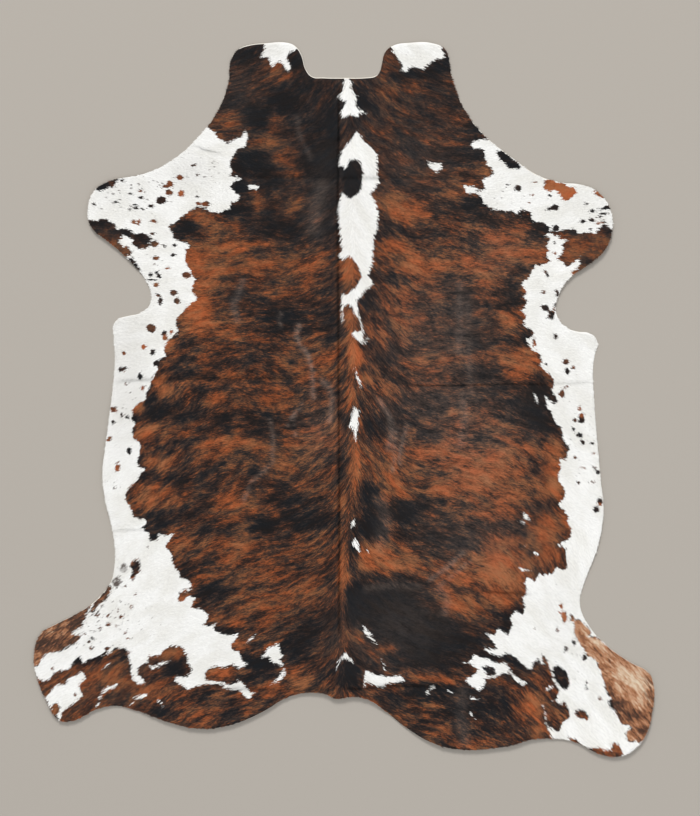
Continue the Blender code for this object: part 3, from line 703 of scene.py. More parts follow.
# The grains of the coat: the size of a grain across the hair and along it, in metres, its layer
# of noise, and the noise's detail, roughness and distortion.
GRAINS = {
    "tuft edge": (0.0042, 0.022, 7.4, 4, 0.7, 0.0),
    "streaks": (0.0024, 0.011, 3.4, 4, 0.7, 0.0),
    "bands": (0.015, 0.048, 5.4, 5, 0.66, 0.2),
    "clouds": (0.045, 0.09, 9.4, 2, 0.5, 0.0),
    "mottle": (0.015, 0.022, 41.4, 4, 0.65, 0.0),
    "redness": (0.03, 0.07, 25.4, 3, 0.55, 0.0),
    "hatching": (0.008, 0.026, 31.4, 3, 0.65, 0.0),
    "specks": (0.007, 0.013, 37.4, 2, 0.6, 0.0),
    "dull": (0.05, 0.09, 17.4, 2, 0.5, 0.0),
    "strands": (0.0009, 0.012, 21.4, 2, 0.6, 0.0),
}
FLECK_CELL = (0.005, 0.012, 13)  # a fleck's room across the hair and along it, and its layer
GRAIN_MIDDLE = 0.5  # what a grain or a tuft's shade is on average
# The leather's grains: how many to a metre, and the noise's detail and roughness.
LEATHER_GRAINS = {"clouds": (9, 4, 0.55), "nap": (420, 3, 0.7)}

# How far the edges of the markings stray from their outlines, in metres.
STRAY = {"with the hair": 0.026, "from tuft to tuft": 0.004, "of the fawn": 0.02}

# What makes the place on the dark hair's ramp: where it starts, and what each grain and fact adds.
DARK_MIX = {
    "start": 0.45, "tone": 0.40, "clouds": 0.6, "sleek": -0.10, "mottle": 1.1, "bands": 1.85,
    "streaks": 1.10, "tufts": 0.18,
}
FAWN_MIX = {"start": 0.5, "tone": 0.34, "streaks": 1.6, "bands": 1.4}
SLEEK_CALMS = {"all": 0.6, "bands": 0.15}  # how much less streaked sleek hair is
LEAST_ROUGH = 0.3

# Where something eases in: the numbers at which it starts and is whole.
EASED = {
    "white": (-0.0006, 0.0006),
    "fawn": (-0.002, 0.003),
    "sheen": (0.6, 1.3),
    "dark streaks": (0.48, 0.56),
    "flecks with dark streaks": (0.2, 1.0),
    "fleck": (-0.1, 0.1),
    "pepper": (1.7, 2.6),
    "specks": (0.42, 0.5),
    "dull": (0.35, 0.7),
    "grey streaks": (0.35, 0.8),
    "nap": (0.35, 0.7),
}

# How strongly something shows: the least, and what its grain or fact adds.
STRENGTHS = {
    "fleck": (0.3, 0.6),
    "pepper": (0.42, 0.5),
    "grey streaks": (0.05, 0.16),
    # painted shade: a tuft is darker at its root and lighter towards its tip
    "painted shade at the root": (0.94, 0.08),
    "from tuft to tuft": (0.955, 0.09),
    "roughness of dark and white hair": (0.62, 0.1),
    "roughness of leather": (0.86, 0.1),
}
DARK_STREAK_SHARE = 0.8
DULL_SHARE = 0.8
NAP_SHARE = 0.35
FLECK_SIZE = 2.2
FLECKS_FOR_STRENGTH = 0.2  # the share of the rooms that have a fleck, where the strength is 1
HAIR_BUMP = {"Strength": 0.3, "Distance": 0.0004}
NAP_BUMP = {"Strength": 0.5, "Distance": 0.0005}
HAIR_GLOSS = 0.1
FLOOR_ROUGHNESS = 0.85

# How the leather is laid out flat to be painted: the share of the width that its hair side takes,
# the share that its underside takes, and the corner where the underside goes.
MAP_SHARE = 0.82
UNDERSIDE_SHARE = 0.17
UNDERSIDE_CORNER = (0.998, 0.002)

# The light: each lamp's place, size, power and colour.
SKY_STRENGTH = 0.72
LAMPS = {
    "key light": ((-3.2, 20.0, 14.4), 6.6, 4600, (1, 0.985, 0.965)),
    "fill light": ((2.6, -4.5, 6.5), 4.0, 70, (0.96, 0.98, 1)),
}
FLOOR_SIZE = 30

# What is stored on the skin for the hair to read.
COAT_FACTS = {
    "white": "FLOAT",
    "tone": "FLOAT",
    "fawn": "FLOAT",
    "sheen": "FLOAT",
    "crease": "FLOAT",
    "flecks": "FLOAT",
    "ragged": "FLOAT",
    "sleek": "FLOAT",
    "dulled": "FLOAT",
    "combed": "FLOAT_VECTOR",
}
# What is stored there for the tufts to grow by: which way each lies, and how long it may be.
GROWTH_FACTS = {"way": "FLOAT_VECTOR", "reach": "FLOAT"}
# How each kind of fact is held: the name of its numbers, and how many there are in one.
FORMS = {"FLOAT": ("value", ()), "FLOAT_VECTOR": ("vector", (3,))}
# What the tufts' node tree is given, and the kind of each.
TUFT_INPUTS = {
    "Skin": "Geometry",
    "Tuft": "Object",
    "Tufts per square metre": "Float",
    "Yaw": "Float",
    "Material": "Material",
    "Seed": "Int",
}


# --- small helpers -----------------------------------------------------------------------------


def on_hide(places):
    """Places in pixels of the photograph as metres across and along the hide."""
    return (np.array(places, float) - MIDDLE) * (PIXEL, -PIXEL)


def ease(share):
    """Runs smoothly from 0 to 1 as share does."""
    held = np.clip(share, 0, 1)
    return held * held * (3 - 2 * held)


def signed_distance(places, outline):
    """How far each place is inside a closed outline, in metres, and negative outside it."""
    start = np.asarray(outline)
    run = np.roll(start, -1, 0) - start
    squared = (run * run).sum(1)
    rise = np.where(run[:, 1] == 0, 1, run[:, 1])
    found = []
    for some in np.array_split(places, len(places) // PLACES_AT_ONCE + 1):
        away = some[:, None] - start
        share = np.clip((away * run).sum(2) / squared, 0, 1)
        distance = np.sqrt(((away - share[..., None] * run) ** 2).sum(2).min(1))
        above = start[:, 1] > some[:, 1:]
        crosses = above != ((start + run)[:, 1] > some[:, 1:])
        crossing = start[:, 0] - (start[:, 1] - some[:, 1:]) * run[:, 0] / rise
        inside = (crosses & (some[:, :1] < crossing)).sum(1) % 2 == 1
        found.append(np.where(inside, distance, -distance))
    return np.concatenate(found)


def distance_to_route(places, route):
    """How far each place is from an open route of straight stretches, in metres."""
    start, end = np.asarray(route[:-1]), np.asarray(route[1:])
    run = end - start
    away = places[:, None] - start
    share = np.clip((away * run).sum(2) / (run * run).sum(1), 0, 1)
    return np.sqrt(((away - share[..., None] * run) ** 2).sum(2).min(1))


def near(places, outline, margin):
    """Which places are in an outline's box, or within a margin of it."""
    low, high = np.min(outline, 0) - margin, np.max(outline, 0) + margin
    return ((places > low) & (places < high)).all(1)


class Field:
    """Numbers on an even grid over the hide, read off between its points."""

    def __init__(self, low, step, values):
        self.low, self.step, self.values = np.asarray(low), step, values

    def __call__(self, places):
        spot = (np.asarray(places) - self.low) / self.step
        spot = np.clip(spot, 0, np.array(self.values.shape) - 1.001)
        cell = spot.astype(int)
        across, along = (spot - cell).T
        (column, row), grid = cell.T, self.values
        near_row = grid[column, row] * (1 - across) + grid[column + 1, row] * across
        far_row = grid[column, row + 1] * (1 - across) + grid[column + 1, row + 1] * across
        return near_row * (1 - along) + far_row * along


def grid_over(low, high, step):
    """The places of an even grid, column by column, and its shape."""
    columns = np.arange(low[0], high[0] + step, step)
    rows = np.arange(low[1], high[1] + step, step)
    return np.stack(np.meshgrid(columns, rows, indexing="ij"), 2)


# --- the hide's shape, from the solid ------------------------------------------------------------


def welded_solid():
    """The solid with its loose triangles joined and its slivers closed."""
    solid = bmesh.new()
    solid.from_mesh(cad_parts["hide"].data)
    bmesh.ops.remove_doubles(solid, verts=solid.verts, dist=WELD)
    bmesh.ops.dissolve_degenerate(solid, dist=SLIVER, edges=solid.edges)
    solid.normal_update()
    return solid


def rim_of(solid):
    """The edge of the solid's upper face as a closed outline, anticlockwise, evenly stepped."""
    follows = {}
    for edge in solid.edges:
        faces = sorted(edge.link_faces, key=lambda face: face.normal.z)
        if len(faces) == 2 and faces[0].normal.z < 0.5 < faces[1].normal.z:
            loop = next(one for one in edge.link_loops if one.face == faces[1])
            follows[loop.vert] = loop.link_loop_next.vert
    vertex = next(iter(follows))
    places = []
    for _ in follows:
        places.append(vertex.co.xy[:])
        vertex = follows[vertex]
    places = np.array(places + places[:1])
    reached = np.append(0, np.cumsum(np.linalg.norm(np.diff(places, axis=0), axis=1)))
    steps = np.linspace(0, reached[-1], round(reached[-1] / RIM_STEP), endpoint=False)
    return np.stack([np.interp(steps, reached, places[:, side]) for side in (0, 1)], 1)


def underside_of(solid, rim):
    """The height of the solid's underside above the floor, softened, as a field."""
    tree = BVHTree.FromBMesh(solid)
    low, high = rim.min(0) - FIELD_STEP, rim.max(0) + FIELD_STEP
    places = grid_over(low, high, FIELD_STEP)
    height = np.full(places.shape[:2], np.nan)
    for cell in np.ndindex(height.shape):
        struck = tree.ray_cast(Vector((*places[cell], -1)), Vector((0, 0, 1)))[0]
        if struck:
            height[cell] = struck.z
    for _ in range(SOFTEN):
        around = np.stack([np.roll(height, way, side) for way in (-1, 1) for side in (0, 1)])
        known = np.isfinite(around).sum(0)
        mean = np.nansum(around, 0) / np.maximum(known, 1)
        both = np.where(np.isfinite(height), (height + mean) / 2, mean)
        height = np.where(known > 0, both, np.nan)
    return Field(low, FIELD_STEP, np.nan_to_num(height))


def inside_of(rim):
    """How far inside the cut edge a place is, as a field, and negative outside it."""
    low, high = rim.min(0) - DEEP_INSIDE, rim.max(0) + DEEP_INSIDE
    places = grid_over(low, high, FIELD_STEP)
    distance = signed_distance(places.reshape(-1, 2), rim)
    return Field(low, FIELD_STEP, distance.reshape(places.shape[:2]))


# --- how the hair lies ---------------------------------------------------------------------------


def combing(rim, side):
    """Fields of the hair's lie on one side, the left (0) or right (1): a number that stays the
    same along each hair, how far along the hair it is, and the number's slopes."""
    low = (0, rim[:, 1].min() - COMB_MARGIN)
    high = (np.abs(rim[:, 0]).max() + 2 * COMB_MARGIN, rim[:, 1].max() + COMB_MARGIN)
    places = grid_over(low, high, COMB_STEP)
    out, along = places[..., 0], places[..., 1]
    stations = [(MIDDLE[1] - down) * PIXEL for down, *_ in COMB.values()][::-1]
    table = np.array([sides[side] for _, *sides in COMB.values()])[::-1]
    at = np.interp(along[0], stations, np.arange(len(stations)))
    row = np.minimum(at.astype(int), len(stations) - 2)
    share = ease(at - row)[:, None]
    rows = table[row] * (1 - share) + table[row + 1] * share
    steps = np.array(COMB_OUT) * PIXEL
    spot = np.interp(out[:, 0], steps, np.arange(len(steps)))
    column = np.minimum(spot.astype(int), len(steps) - 2)
    share = ease(spot - column)[:, None]
    steep = rows.T[column] * (1 - share) + rows.T[column + 1] * share
    hair = along + np.cumsum(steep, 0) * COMB_STEP
    for across, down, height in COMB_WAVES:
        hair += height * np.sin(math.tau * (out / across + along / down))
    outward, upward = np.gradient(hair, COMB_STEP)
    length = np.cumsum(np.sqrt(1 + steep * steep), 0) * COMB_STEP
    return [Field(low, COMB_STEP, values) for values in (hair, length, outward, upward)]


def lie_of_hair(places, lie):
    """For each place, its hair's number, how far along the hair it is, its side, and its way."""
    parting = on_hide(PARTING)[::-1]
    middle = np.interp(places[:, 1], parting[:, 1], parting[:, 0])
    lean = np.interp(places[:, 1] + COMB_STEP, parting[:, 1], parting[:, 0]) - middle
    side = np.where(places[:, 0] < middle, -1.0, 1.0)
    out = np.abs(places[:, 0] - middle)
    spot = np.stack((out, places[:, 1]), 1)
    left, right = ([field(spot) for field in fields] for fields in lie)
    hair, length, outward, upward = np.where(side < 0, left, right)
    upward = upward - side * outward * lean / COMB_STEP
    combed = np.stack((hair, length, side), 1)
    way = np.stack((side * upward, -outward, 0 * out), 1)
    return combed, way / np.linalg.norm(way, axis=1)[:, None]


# --- the markings --------------------------------------------------------------------------------


def brindle_outline():
    """The dark part's outline all round, in metres."""
    return on_hide([point for stretch in BRINDLE.values() for point in stretch])


def inside_each(places, patches):
    """For each patch, which places are near it, and how far inside it those are, in metres."""
    for patch in patches:
        outline = on_hide(patch)
        close = near(places, outline, DEEP_INSIDE)
        yield close, signed_distance(places[close], outline)


def darkness(places):
    """How far inside the dark coat each place is, in metres, its tone, how fawn it is and how
    ragged the edges of the markings are."""
    dark = signed_distance(places, brindle_outline())
    tone = blotch_tone(places)
    for close, inside in inside_each(places, WHITE_PATCHES.values()):
        dark[close] = np.minimum(dark[close], -inside)
    own_tones, patches = zip(*DARK_PATCHES.values())
    for own_tone, (close, inside) in zip(own_tones, inside_each(places, patches)):
        tone[close] += own_tone * ease(inside / PATCH_BLEND + 1)
        dark[close] = np.maximum(dark[close], inside + PATCH_SPREAD)
    fawn = np.full(len(places), -DEEP_INSIDE)
    for close, inside in inside_each(places, FAWN_PATCHES.values()):
        fawn[close] = np.maximum(fawn[close], inside)
    pale = soft_sum(places, FAWN_TONES)
    weight = ease(fawn / FAWN_BLEND + 1)
    tone = tone * (1 - weight) + pale * weight
    dark = np.maximum(dark, fawn)
    ragged = np.ones(len(places))
    for shade, spots in SPOTS.items():
        for across, down, width, height in spots:
            middle, radii = on_hide((across, down)), np.array((width, height)) * PIXEL / 2
            close = near(places, [middle], SPOT_MARGIN)
            reach = np.linalg.norm((places[close] - middle) / radii, axis=1)
            inside = (1 - reach) * radii.min() + SPOT_SPREAD
            weight = ease(inside / SPOT_BLEND + 1)
            tone[close] = tone[close] * (1 - weight) + SPOT_TONES[shade] * weight
            dark[close] = np.maximum(dark[close], inside)
            ragged[close] = np.minimum(ragged[close], 1 - (1 - SPOT_EDGE) * weight)
    return np.clip(dark, -DEEP_INSIDE, DEEP_INSIDE), tone, fawn, ragged


def soft_sum(places, ovals):
    """The sum of soft ovals, each of a place, half width, half height and strength in pixels."""
    total = np.zeros(len(places))
    for across, down, width, height, strength in ovals:
        away = (places - on_hide((across, down))) / (width * PIXEL, height * PIXEL)
        total += strength * np.exp(-(away * away).sum(1))
    return total


def blotch_tone(places):
    """How rusty or black the brindle is, from about -1 to 1."""
    return sum(soft_sum(places, ovals) for ovals in BLOTCHES.values())


def painted_sheen_at(places):
    """How grey the hair shines at each place, from 0 to 1."""
    sheen = np.zeros(len(places))
    for route, width, strength in SHEEN_MARKS.values():
        away = distance_to_route(places, on_hide(route)) / (width * PIXEL)
        sheen = np.maximum(sheen, strength * np.exp(-away * away))
    return sheen + soft_sum(places, VEILS)


def crease_depth_and_shade(places):
    """How deep the creases are at each place, in metres, and their painted shade, from 0 to 1."""
    depth, shade = np.zeros(len(places)), np.zeros(len(places))
    for route, width, deep, dark in CREASES.values():
        route = on_hide(route)
        away = distance_to_route(places, route) / width
        ends = np.linalg.norm(places[:, None] - route[[0, -1]], axis=2).min(1)
        groove = np.exp(-away * away) * ease(ends / CREASE_END)
        depth = np.maximum(depth, deep * groove)
        shade = np.maximum(shade, groove * dark)
    return depth, shade


def bareness(places):
    """Where the cut edge shows as a pale line: from 0 to 1."""
    away = [distance_to_route(places, on_hide(route)) for route in BARE_EDGES]
    return np.exp(-((np.min(away, 0) / BARE_REACH) ** 4))


def marking_outlines():
    """Every outline of the markings, and every crease there and back, in metres."""
    yield brindle_outline()
    dark_patches = [patch for _, patch in DARK_PATCHES.values()]
    for patch in (*WHITE_PATCHES.values(), *dark_patches, *FAWN_PATCHES.values()):
        yield on_hide(patch)
    for route, _, _, _ in CREASES.values():
        yield on_hide(route + route[-2:0:-1])
    turns = np.linspace(0, math.tau, SPOT_CORNERS, endpoint=False)
    ring = np.stack((np.cos(turns), np.sin(turns)), 1)
    for spots in SPOTS.values():
        for across, down, width, height in spots:
            yield on_hide((across, down)) + ring * np.array((width, height)) * PIXEL / 2


# --- the leather sheet ---------------------------------------------------------------------------


def marking_cells(low, shape):
    """Which cells of a fine grid lie close to the edge of a marking."""
    busy = np.zeros(shape, bool)
    reach = round(FINE_BAND / FINE_STEP)
    for outline in marking_outlines():
        run = np.roll(outline, -1, 0) - outline
        for start, step in zip(outline, run):
            count = int(np.linalg.norm(step) / FINE_STEP * CHECKS_PER_STEP) + 1
            points = start + step * np.linspace(0, 1, count, endpoint=False)[:, None]
            cells = ((points - low) / FINE_STEP).astype(int)
            for column, row in cells[((cells >= 0) & (cells < shape)).all(1)]:
                busy[
                    max(column - reach, 0) : column + reach + 1,
                    max(row - reach, 0) : row + reach + 1,
                ] = True
    return busy


def even_places(rim, inside, step):
    """Places strewn evenly all over the hide."""
    random = np.random.default_rng(SEED)
    places = grid_over(rim.min(0), rim.max(0), step)
    places[:, 1::2, 0] += step / 2
    places = places.reshape(-1, 2)
    places = places + random.uniform(-COARSE_JITTER, COARSE_JITTER, places.shape) * step
    return places[inside(places) > step * 0.5]


def marked_places(rim, inside):
    """Places all over the hide, close together along the edges of the markings."""
    random = np.random.default_rng(SEED)
    low = rim.min(0)
    fine = grid_over(low, rim.max(0), FINE_STEP)
    busy = marking_cells(low, fine.shape[:2])
    stray = random.uniform(-FINE_JITTER, FINE_JITTER, (busy.sum(), 2))
    fine = fine[busy] + stray * FINE_STEP
    coarse = even_places(rim, inside, COARSE_STEP)
    cells = np.clip(((coarse - low) / FINE_STEP).astype(int), 0, np.array(busy.shape) - 1)
    coarse = coarse[~busy[cells[:, 0], cells[:, 1]]]
    return np.concatenate((fine[inside(fine) > RIM_STEP * 0.5], coarse))


def inset(rim, distance):
    """The rim moved inwards by a distance."""
    along = np.roll(rim, -1, 0) - np.roll(rim, 1, 0)
    along /= np.linalg.norm(along, axis=1)[:, None]
    return rim + np.stack((-along[:, 1], along[:, 0]), 1) * distance


def triangles_within(rim, places):
    """The triangles that join the places inside the rim."""
    count = len(rim)
    edges = [(start, (start + 1) % count) for start in range(count)]
    points = [Vector(place) for place in np.concatenate((rim, places))]
    _, _, faces, origins, _, _ = delaunay_2d_cdt(points, edges, [], 1, SAME_PLACE)
    given = np.array([origin[0] for origin in origins])
    return given[np.array(faces)]


def put_attribute(mesh, name, kind, values):
    """Stores a number or vector for each vertex, and nothing for those past the last value."""
    holder, shape = FORMS[kind]
    kept = np.zeros((len(mesh.vertices), *shape), np.float32)
    kept[: len(values)] = values
    mesh.attributes.new(name, kind, "POINT").data.foreach_set(holder, kept.ravel())


def added(name, data):
    """A new object in the scene, with the mesh, lamp or camera that it is given."""
    made = bpy.data.objects.new(name, data)
    bpy.context.scene.collection.objects.link(made)
    return made


def mesh_from(name, vertices, triangles, smooth=True):
    """A mesh of triangles."""
    mesh = bpy.data.meshes.new(name)
    mesh.vertices.add(len(vertices))
    mesh.vertices.foreach_set("co", np.asarray(vertices, np.float32).ravel())
    mesh.loops.add(triangles.size)
    mesh.loops.foreach_set("vertex_index", triangles.ravel().astype(np.int32))
    mesh.polygons.add(len(triangles))
    mesh.polygons.foreach_set("loop_start", np.arange(0, triangles.size, 3, dtype=np.int32))
    mesh.polygons.foreach_set("use_smooth", np.full(len(triangles), smooth))
    mesh.update(calc_edges=True)
    return mesh


def corners_of(mesh):
    """Where the mesh's vertices are, one row each."""
    places = np.empty(len(mesh.vertices) * 3, np.float32)
    mesh.vertices.foreach_get("co", places)
    return places.reshape(-1, 3)


def numbers_of(mesh, name):
    """A named number or vector of each vertex."""
    holder, shape = FORMS[mesh.attributes[name].data_type]
    values = np.empty((len(mesh.vertices), *shape), np.float32)
    mesh.attributes[name].data.foreach_get(holder, values.ravel())
    return values


def reach_of_hair(places, way, inside):
    """How much of its length a tuft at each place can have, so that it ends at the cut edge."""
    reach = np.ones(len(places))
    trimmed = bareness(places) * BARE_SLOPE - OVERHANG
    for share in TRIMMED_TO:
        tip = places + way[:, :2] * TUFT_LENGTH * share
        reach = np.where(inside(tip) < trimmed, share, reach)
    return np.maximum(reach - TRIM_SPARE * (reach < 1), SHORTEST_TUFT)


def put_coat_facts(mesh, places, lie, inside):
    """Stores on the vertices what the coat's material and the tufts read."""
    dark, tone, fawn, ragged = darkness(places)
    combed, way = lie_of_hair(places, lie)
    facts = {
        "white": -dark, "tone": tone, "fawn": fawn, "ragged": ragged, "combed": combed,
        "sheen": painted_sheen_at(places),
        "crease": crease_depth_and_shade(places)[1],
        "flecks": np.clip(soft_sum(places, FLECKED), 0, MOST_FLECKS),
        "sleek": np.clip(soft_sum(places, SLEEK), 0, 1),
        "dulled": soft_sum(places, PAINTED_SHADE_ON_WHITE),
        "way": way,
        "reach": reach_of_hair(places, way, inside),
    }
    for name, kind in (COAT_FACTS | GROWTH_FACTS).items():
        put_attribute(mesh, name, kind, facts[name])


def flat_map(mesh, mirrored=None):
    """Lays the mesh out flat, as it is seen from above, to paint it. Faces that are marked as
    mirrored go to a small copy beside it."""
    corners = np.empty(len(mesh.loops), np.int32)
    mesh.loops.foreach_get("vertex_index", corners)
    places = corners_of(mesh)[:, :2]
    low, high = places.min(0), places.max(0)
    spots = (places[corners] - low) / (high - low)
    if mirrored is not None:
        aside = np.repeat(mirrored, 3)
        spots *= MAP_SHARE
        smaller = UNDERSIDE_SHARE / MAP_SHARE
        spots[aside] = spots[aside] * (-smaller, smaller) + UNDERSIDE_CORNER
    layer = mesh.uv_layers.new(name="OFBake")
    layer.data.foreach_set("uv", spots.astype(np.float32).ravel())


def leather_sheet(rim, underside, skin, inside, lie, materials):
    """The closed leather sheet: hair side, cut edge and underside."""
    top_rim = inset(rim, (CUT_SLOPE + BARE_SLOPE * bareness(rim))[:, None])
    upper = np.concatenate((top_rim, marked_places(rim, inside)))
    lower = np.concatenate((rim, even_places(rim, inside, UNDERSIDE_STEP)))
    top_faces = triangles_within(top_rim, upper[len(rim) :])
    bottom_faces = triangles_within(rim, lower[len(rim) :])[:, ::-1] + len(upper)
    start = np.arange(len(rim))
    after = np.roll(start, -1)
    below, below_after = start + len(upper), after + len(upper)
    side = np.concatenate((
        np.stack((start, below, after), 1), np.stack((after, below, below_after), 1),
    ))
    vertices = np.concatenate((
        np.column_stack((upper, skin(upper))), np.column_stack((lower, underside(lower))),
    ))
    triangles = np.concatenate((top_faces, side, bottom_faces))
    mesh = mesh_from("leather", vertices, triangles)
    put_coat_facts(mesh, upper, lie, inside)
    for material in materials:
        mesh.materials.append(material)
    marks = np.ones(len(triangles), np.int32)
    marks[: len(top_faces)] = 0
    mesh.polygons.foreach_set("material_index", marks)
    under = np.arange(len(triangles)) >= len(top_faces) + len(side)
    flat_map(mesh, under)
    return added("leather", mesh), top_faces


# --- building node trees -------------------------------------------------------------------------


class Wire:
    """A node's output, with the arithmetic of numbers."""

    def __init__(self, tree, socket):
        self.tree, self.socket = tree, socket

    def also(self, output):
        """Another output of the same node."""
        return Wire(self.tree, self.socket.node.outputs[output])

    def math(self, operation, *others):
        """What an operation makes of this number and others."""
        return self.tree.node("ShaderNodeMath", {"operation": operation}, (self, *others))

    def __add__(self, other):
        return self.math("ADD", other)

    def __sub__(self, other):
        return self.math("SUBTRACT", other)

    def __mul__(self, other):
        return self.math("MULTIPLY", other)

    def __truediv__(self, other):
        return self.math("DIVIDE", other)

    def __rsub__(self, other):
        return self.tree.node("ShaderNodeMath", {"operation": "SUBTRACT"}, (other, self))

    __radd__ = __add__
    __rmul__ = __mul__

    def ease(self, low, high):
        """Runs smoothly from 0 to 1 as this number goes from low to high."""
        settings = {"interpolation_type": "SMOOTHSTEP"}
        values = {"Value": self, "From Min": low, "From Max": high}
        return self.tree.node("ShaderNodeMapRange", settings, values)


def set_stops(ramp, stops):
    """Sets a ramp's stops, each of a place and a colour."""
    for index, (place, colour) in enumerate(stops):
        stop = ramp.elements[index] if index < 2 else ramp.elements.new(place)
        stop.position = place
        stop.color = colour


class Tree:
    """A node tree, with one method that adds any node."""

    def __init__(self, tree):
        self.tree = tree
        tree.nodes.clear()

    def node(self, kind, settings=(), values=(), output=0):
        """Adds a node, sets it and its sockets, links what is linked, and gives an output."""
        made = self.tree.nodes.new(kind)
        for name, value in dict(settings).items():
            if name == "stops":
                set_stops(made.color_ramp, value)
            else:
                setattr(made, name, value)
        pairs = values.items() if isinstance(values, dict) else enumerate(values)
        for socket, value in pairs:
            self.join(made.inputs[socket], value)
        return Wire(self, made.outputs[output]) if len(made.outputs) else made

    def join(self, socket, value):
        """Links a wire to a socket, or sets a plain value on it."""
        if isinstance(value, Wire):
            self.tree.links.new(value.socket, socket)
        elif value is not None:
            socket.default_value = value


class Shader(Tree):
    """A material's tree."""

    def __init__(self, name):
        self.material = bpy.data.materials.new(name)
        self.material.use_nodes = True
        super().__init__(self.material.node_tree)

    def attribute(self, name, output="Fac"):
        """A fact that the mesh holds."""
        return self.node("ShaderNodeAttribute", {"attribute_name": name}, (), output)

    def stretched(self, place, scales):
        """A place with each of its numbers scaled."""
        settings = {"operation": "MULTIPLY"}
        return self.node("ShaderNodeVectorMath", settings, (place, scales))

    def noise(self, place, detail=2.0, roughness=0.5, distortion=0.0):
        """Soft noise about 0.5, with grains about 1 across."""
        values = {
            "Vector": place, "Scale": 1.0, "Detail": detail, "Roughness": roughness,
            "Distortion": distortion,
        }
        return self.node("ShaderNodeTexNoise", (), values)

    def strength(self, name, grain):
        """How strongly something shows, by its grain or fact."""
        least, more = STRENGTHS[name]
        return grain * more + least

    def grain(self, combed, name):
        """One of the coat's grains, which run along the hair."""
        across, along, layer, *noise = GRAINS[name]
        return self.noise(self.stretched(combed, (1 / across, 1 / along, layer)), *noise)

    def ramp(self, position, stops):
        """The colour at a position among the stops."""
        return self.node("ShaderNodeValToRGB", {"stops": stops}, (position,))

    def blend(self, share, first, second, way="MIX"):
        """The first colour, turned by a share into the second, or multiplied by it."""
        settings = {"data_type": "RGBA", "blend_type": way}
        return self.node("ShaderNodeMix", settings, {0: share, 6: first, 7: second}, 2)

    def finish(self, **values):
        """Ends the tree with these values on its surface, and gives the material."""
        shader = self.node("ShaderNodeBsdfPrincipled", (), values)
        self.node("ShaderNodeOutputMaterial", (), {"Surface": shader})
        return self.material


def srgb(red, green, blue):
    """A colour as it is seen, of three numbers up to 255, as Blender's sockets take it."""
    parts = np.array((red, green, blue)) / 255
    linear = np.where(parts > 0.04045, ((parts + 0.055) / 1.055) ** 2.4, parts / 12.92)
    return (*map(float, linear), 1.0)


def colour_of(name):
    """A named colour, as Blender's sockets take it."""
    return srgb(*COLOURS[name])


def hair_stops(stops):
    """The stops of a hair ramp, with their colours as Blender's sockets take them."""
    return [(place, srgb(*colour)) for place, colour in stops]


# --- materials -----------------------------------------------------------------------------------


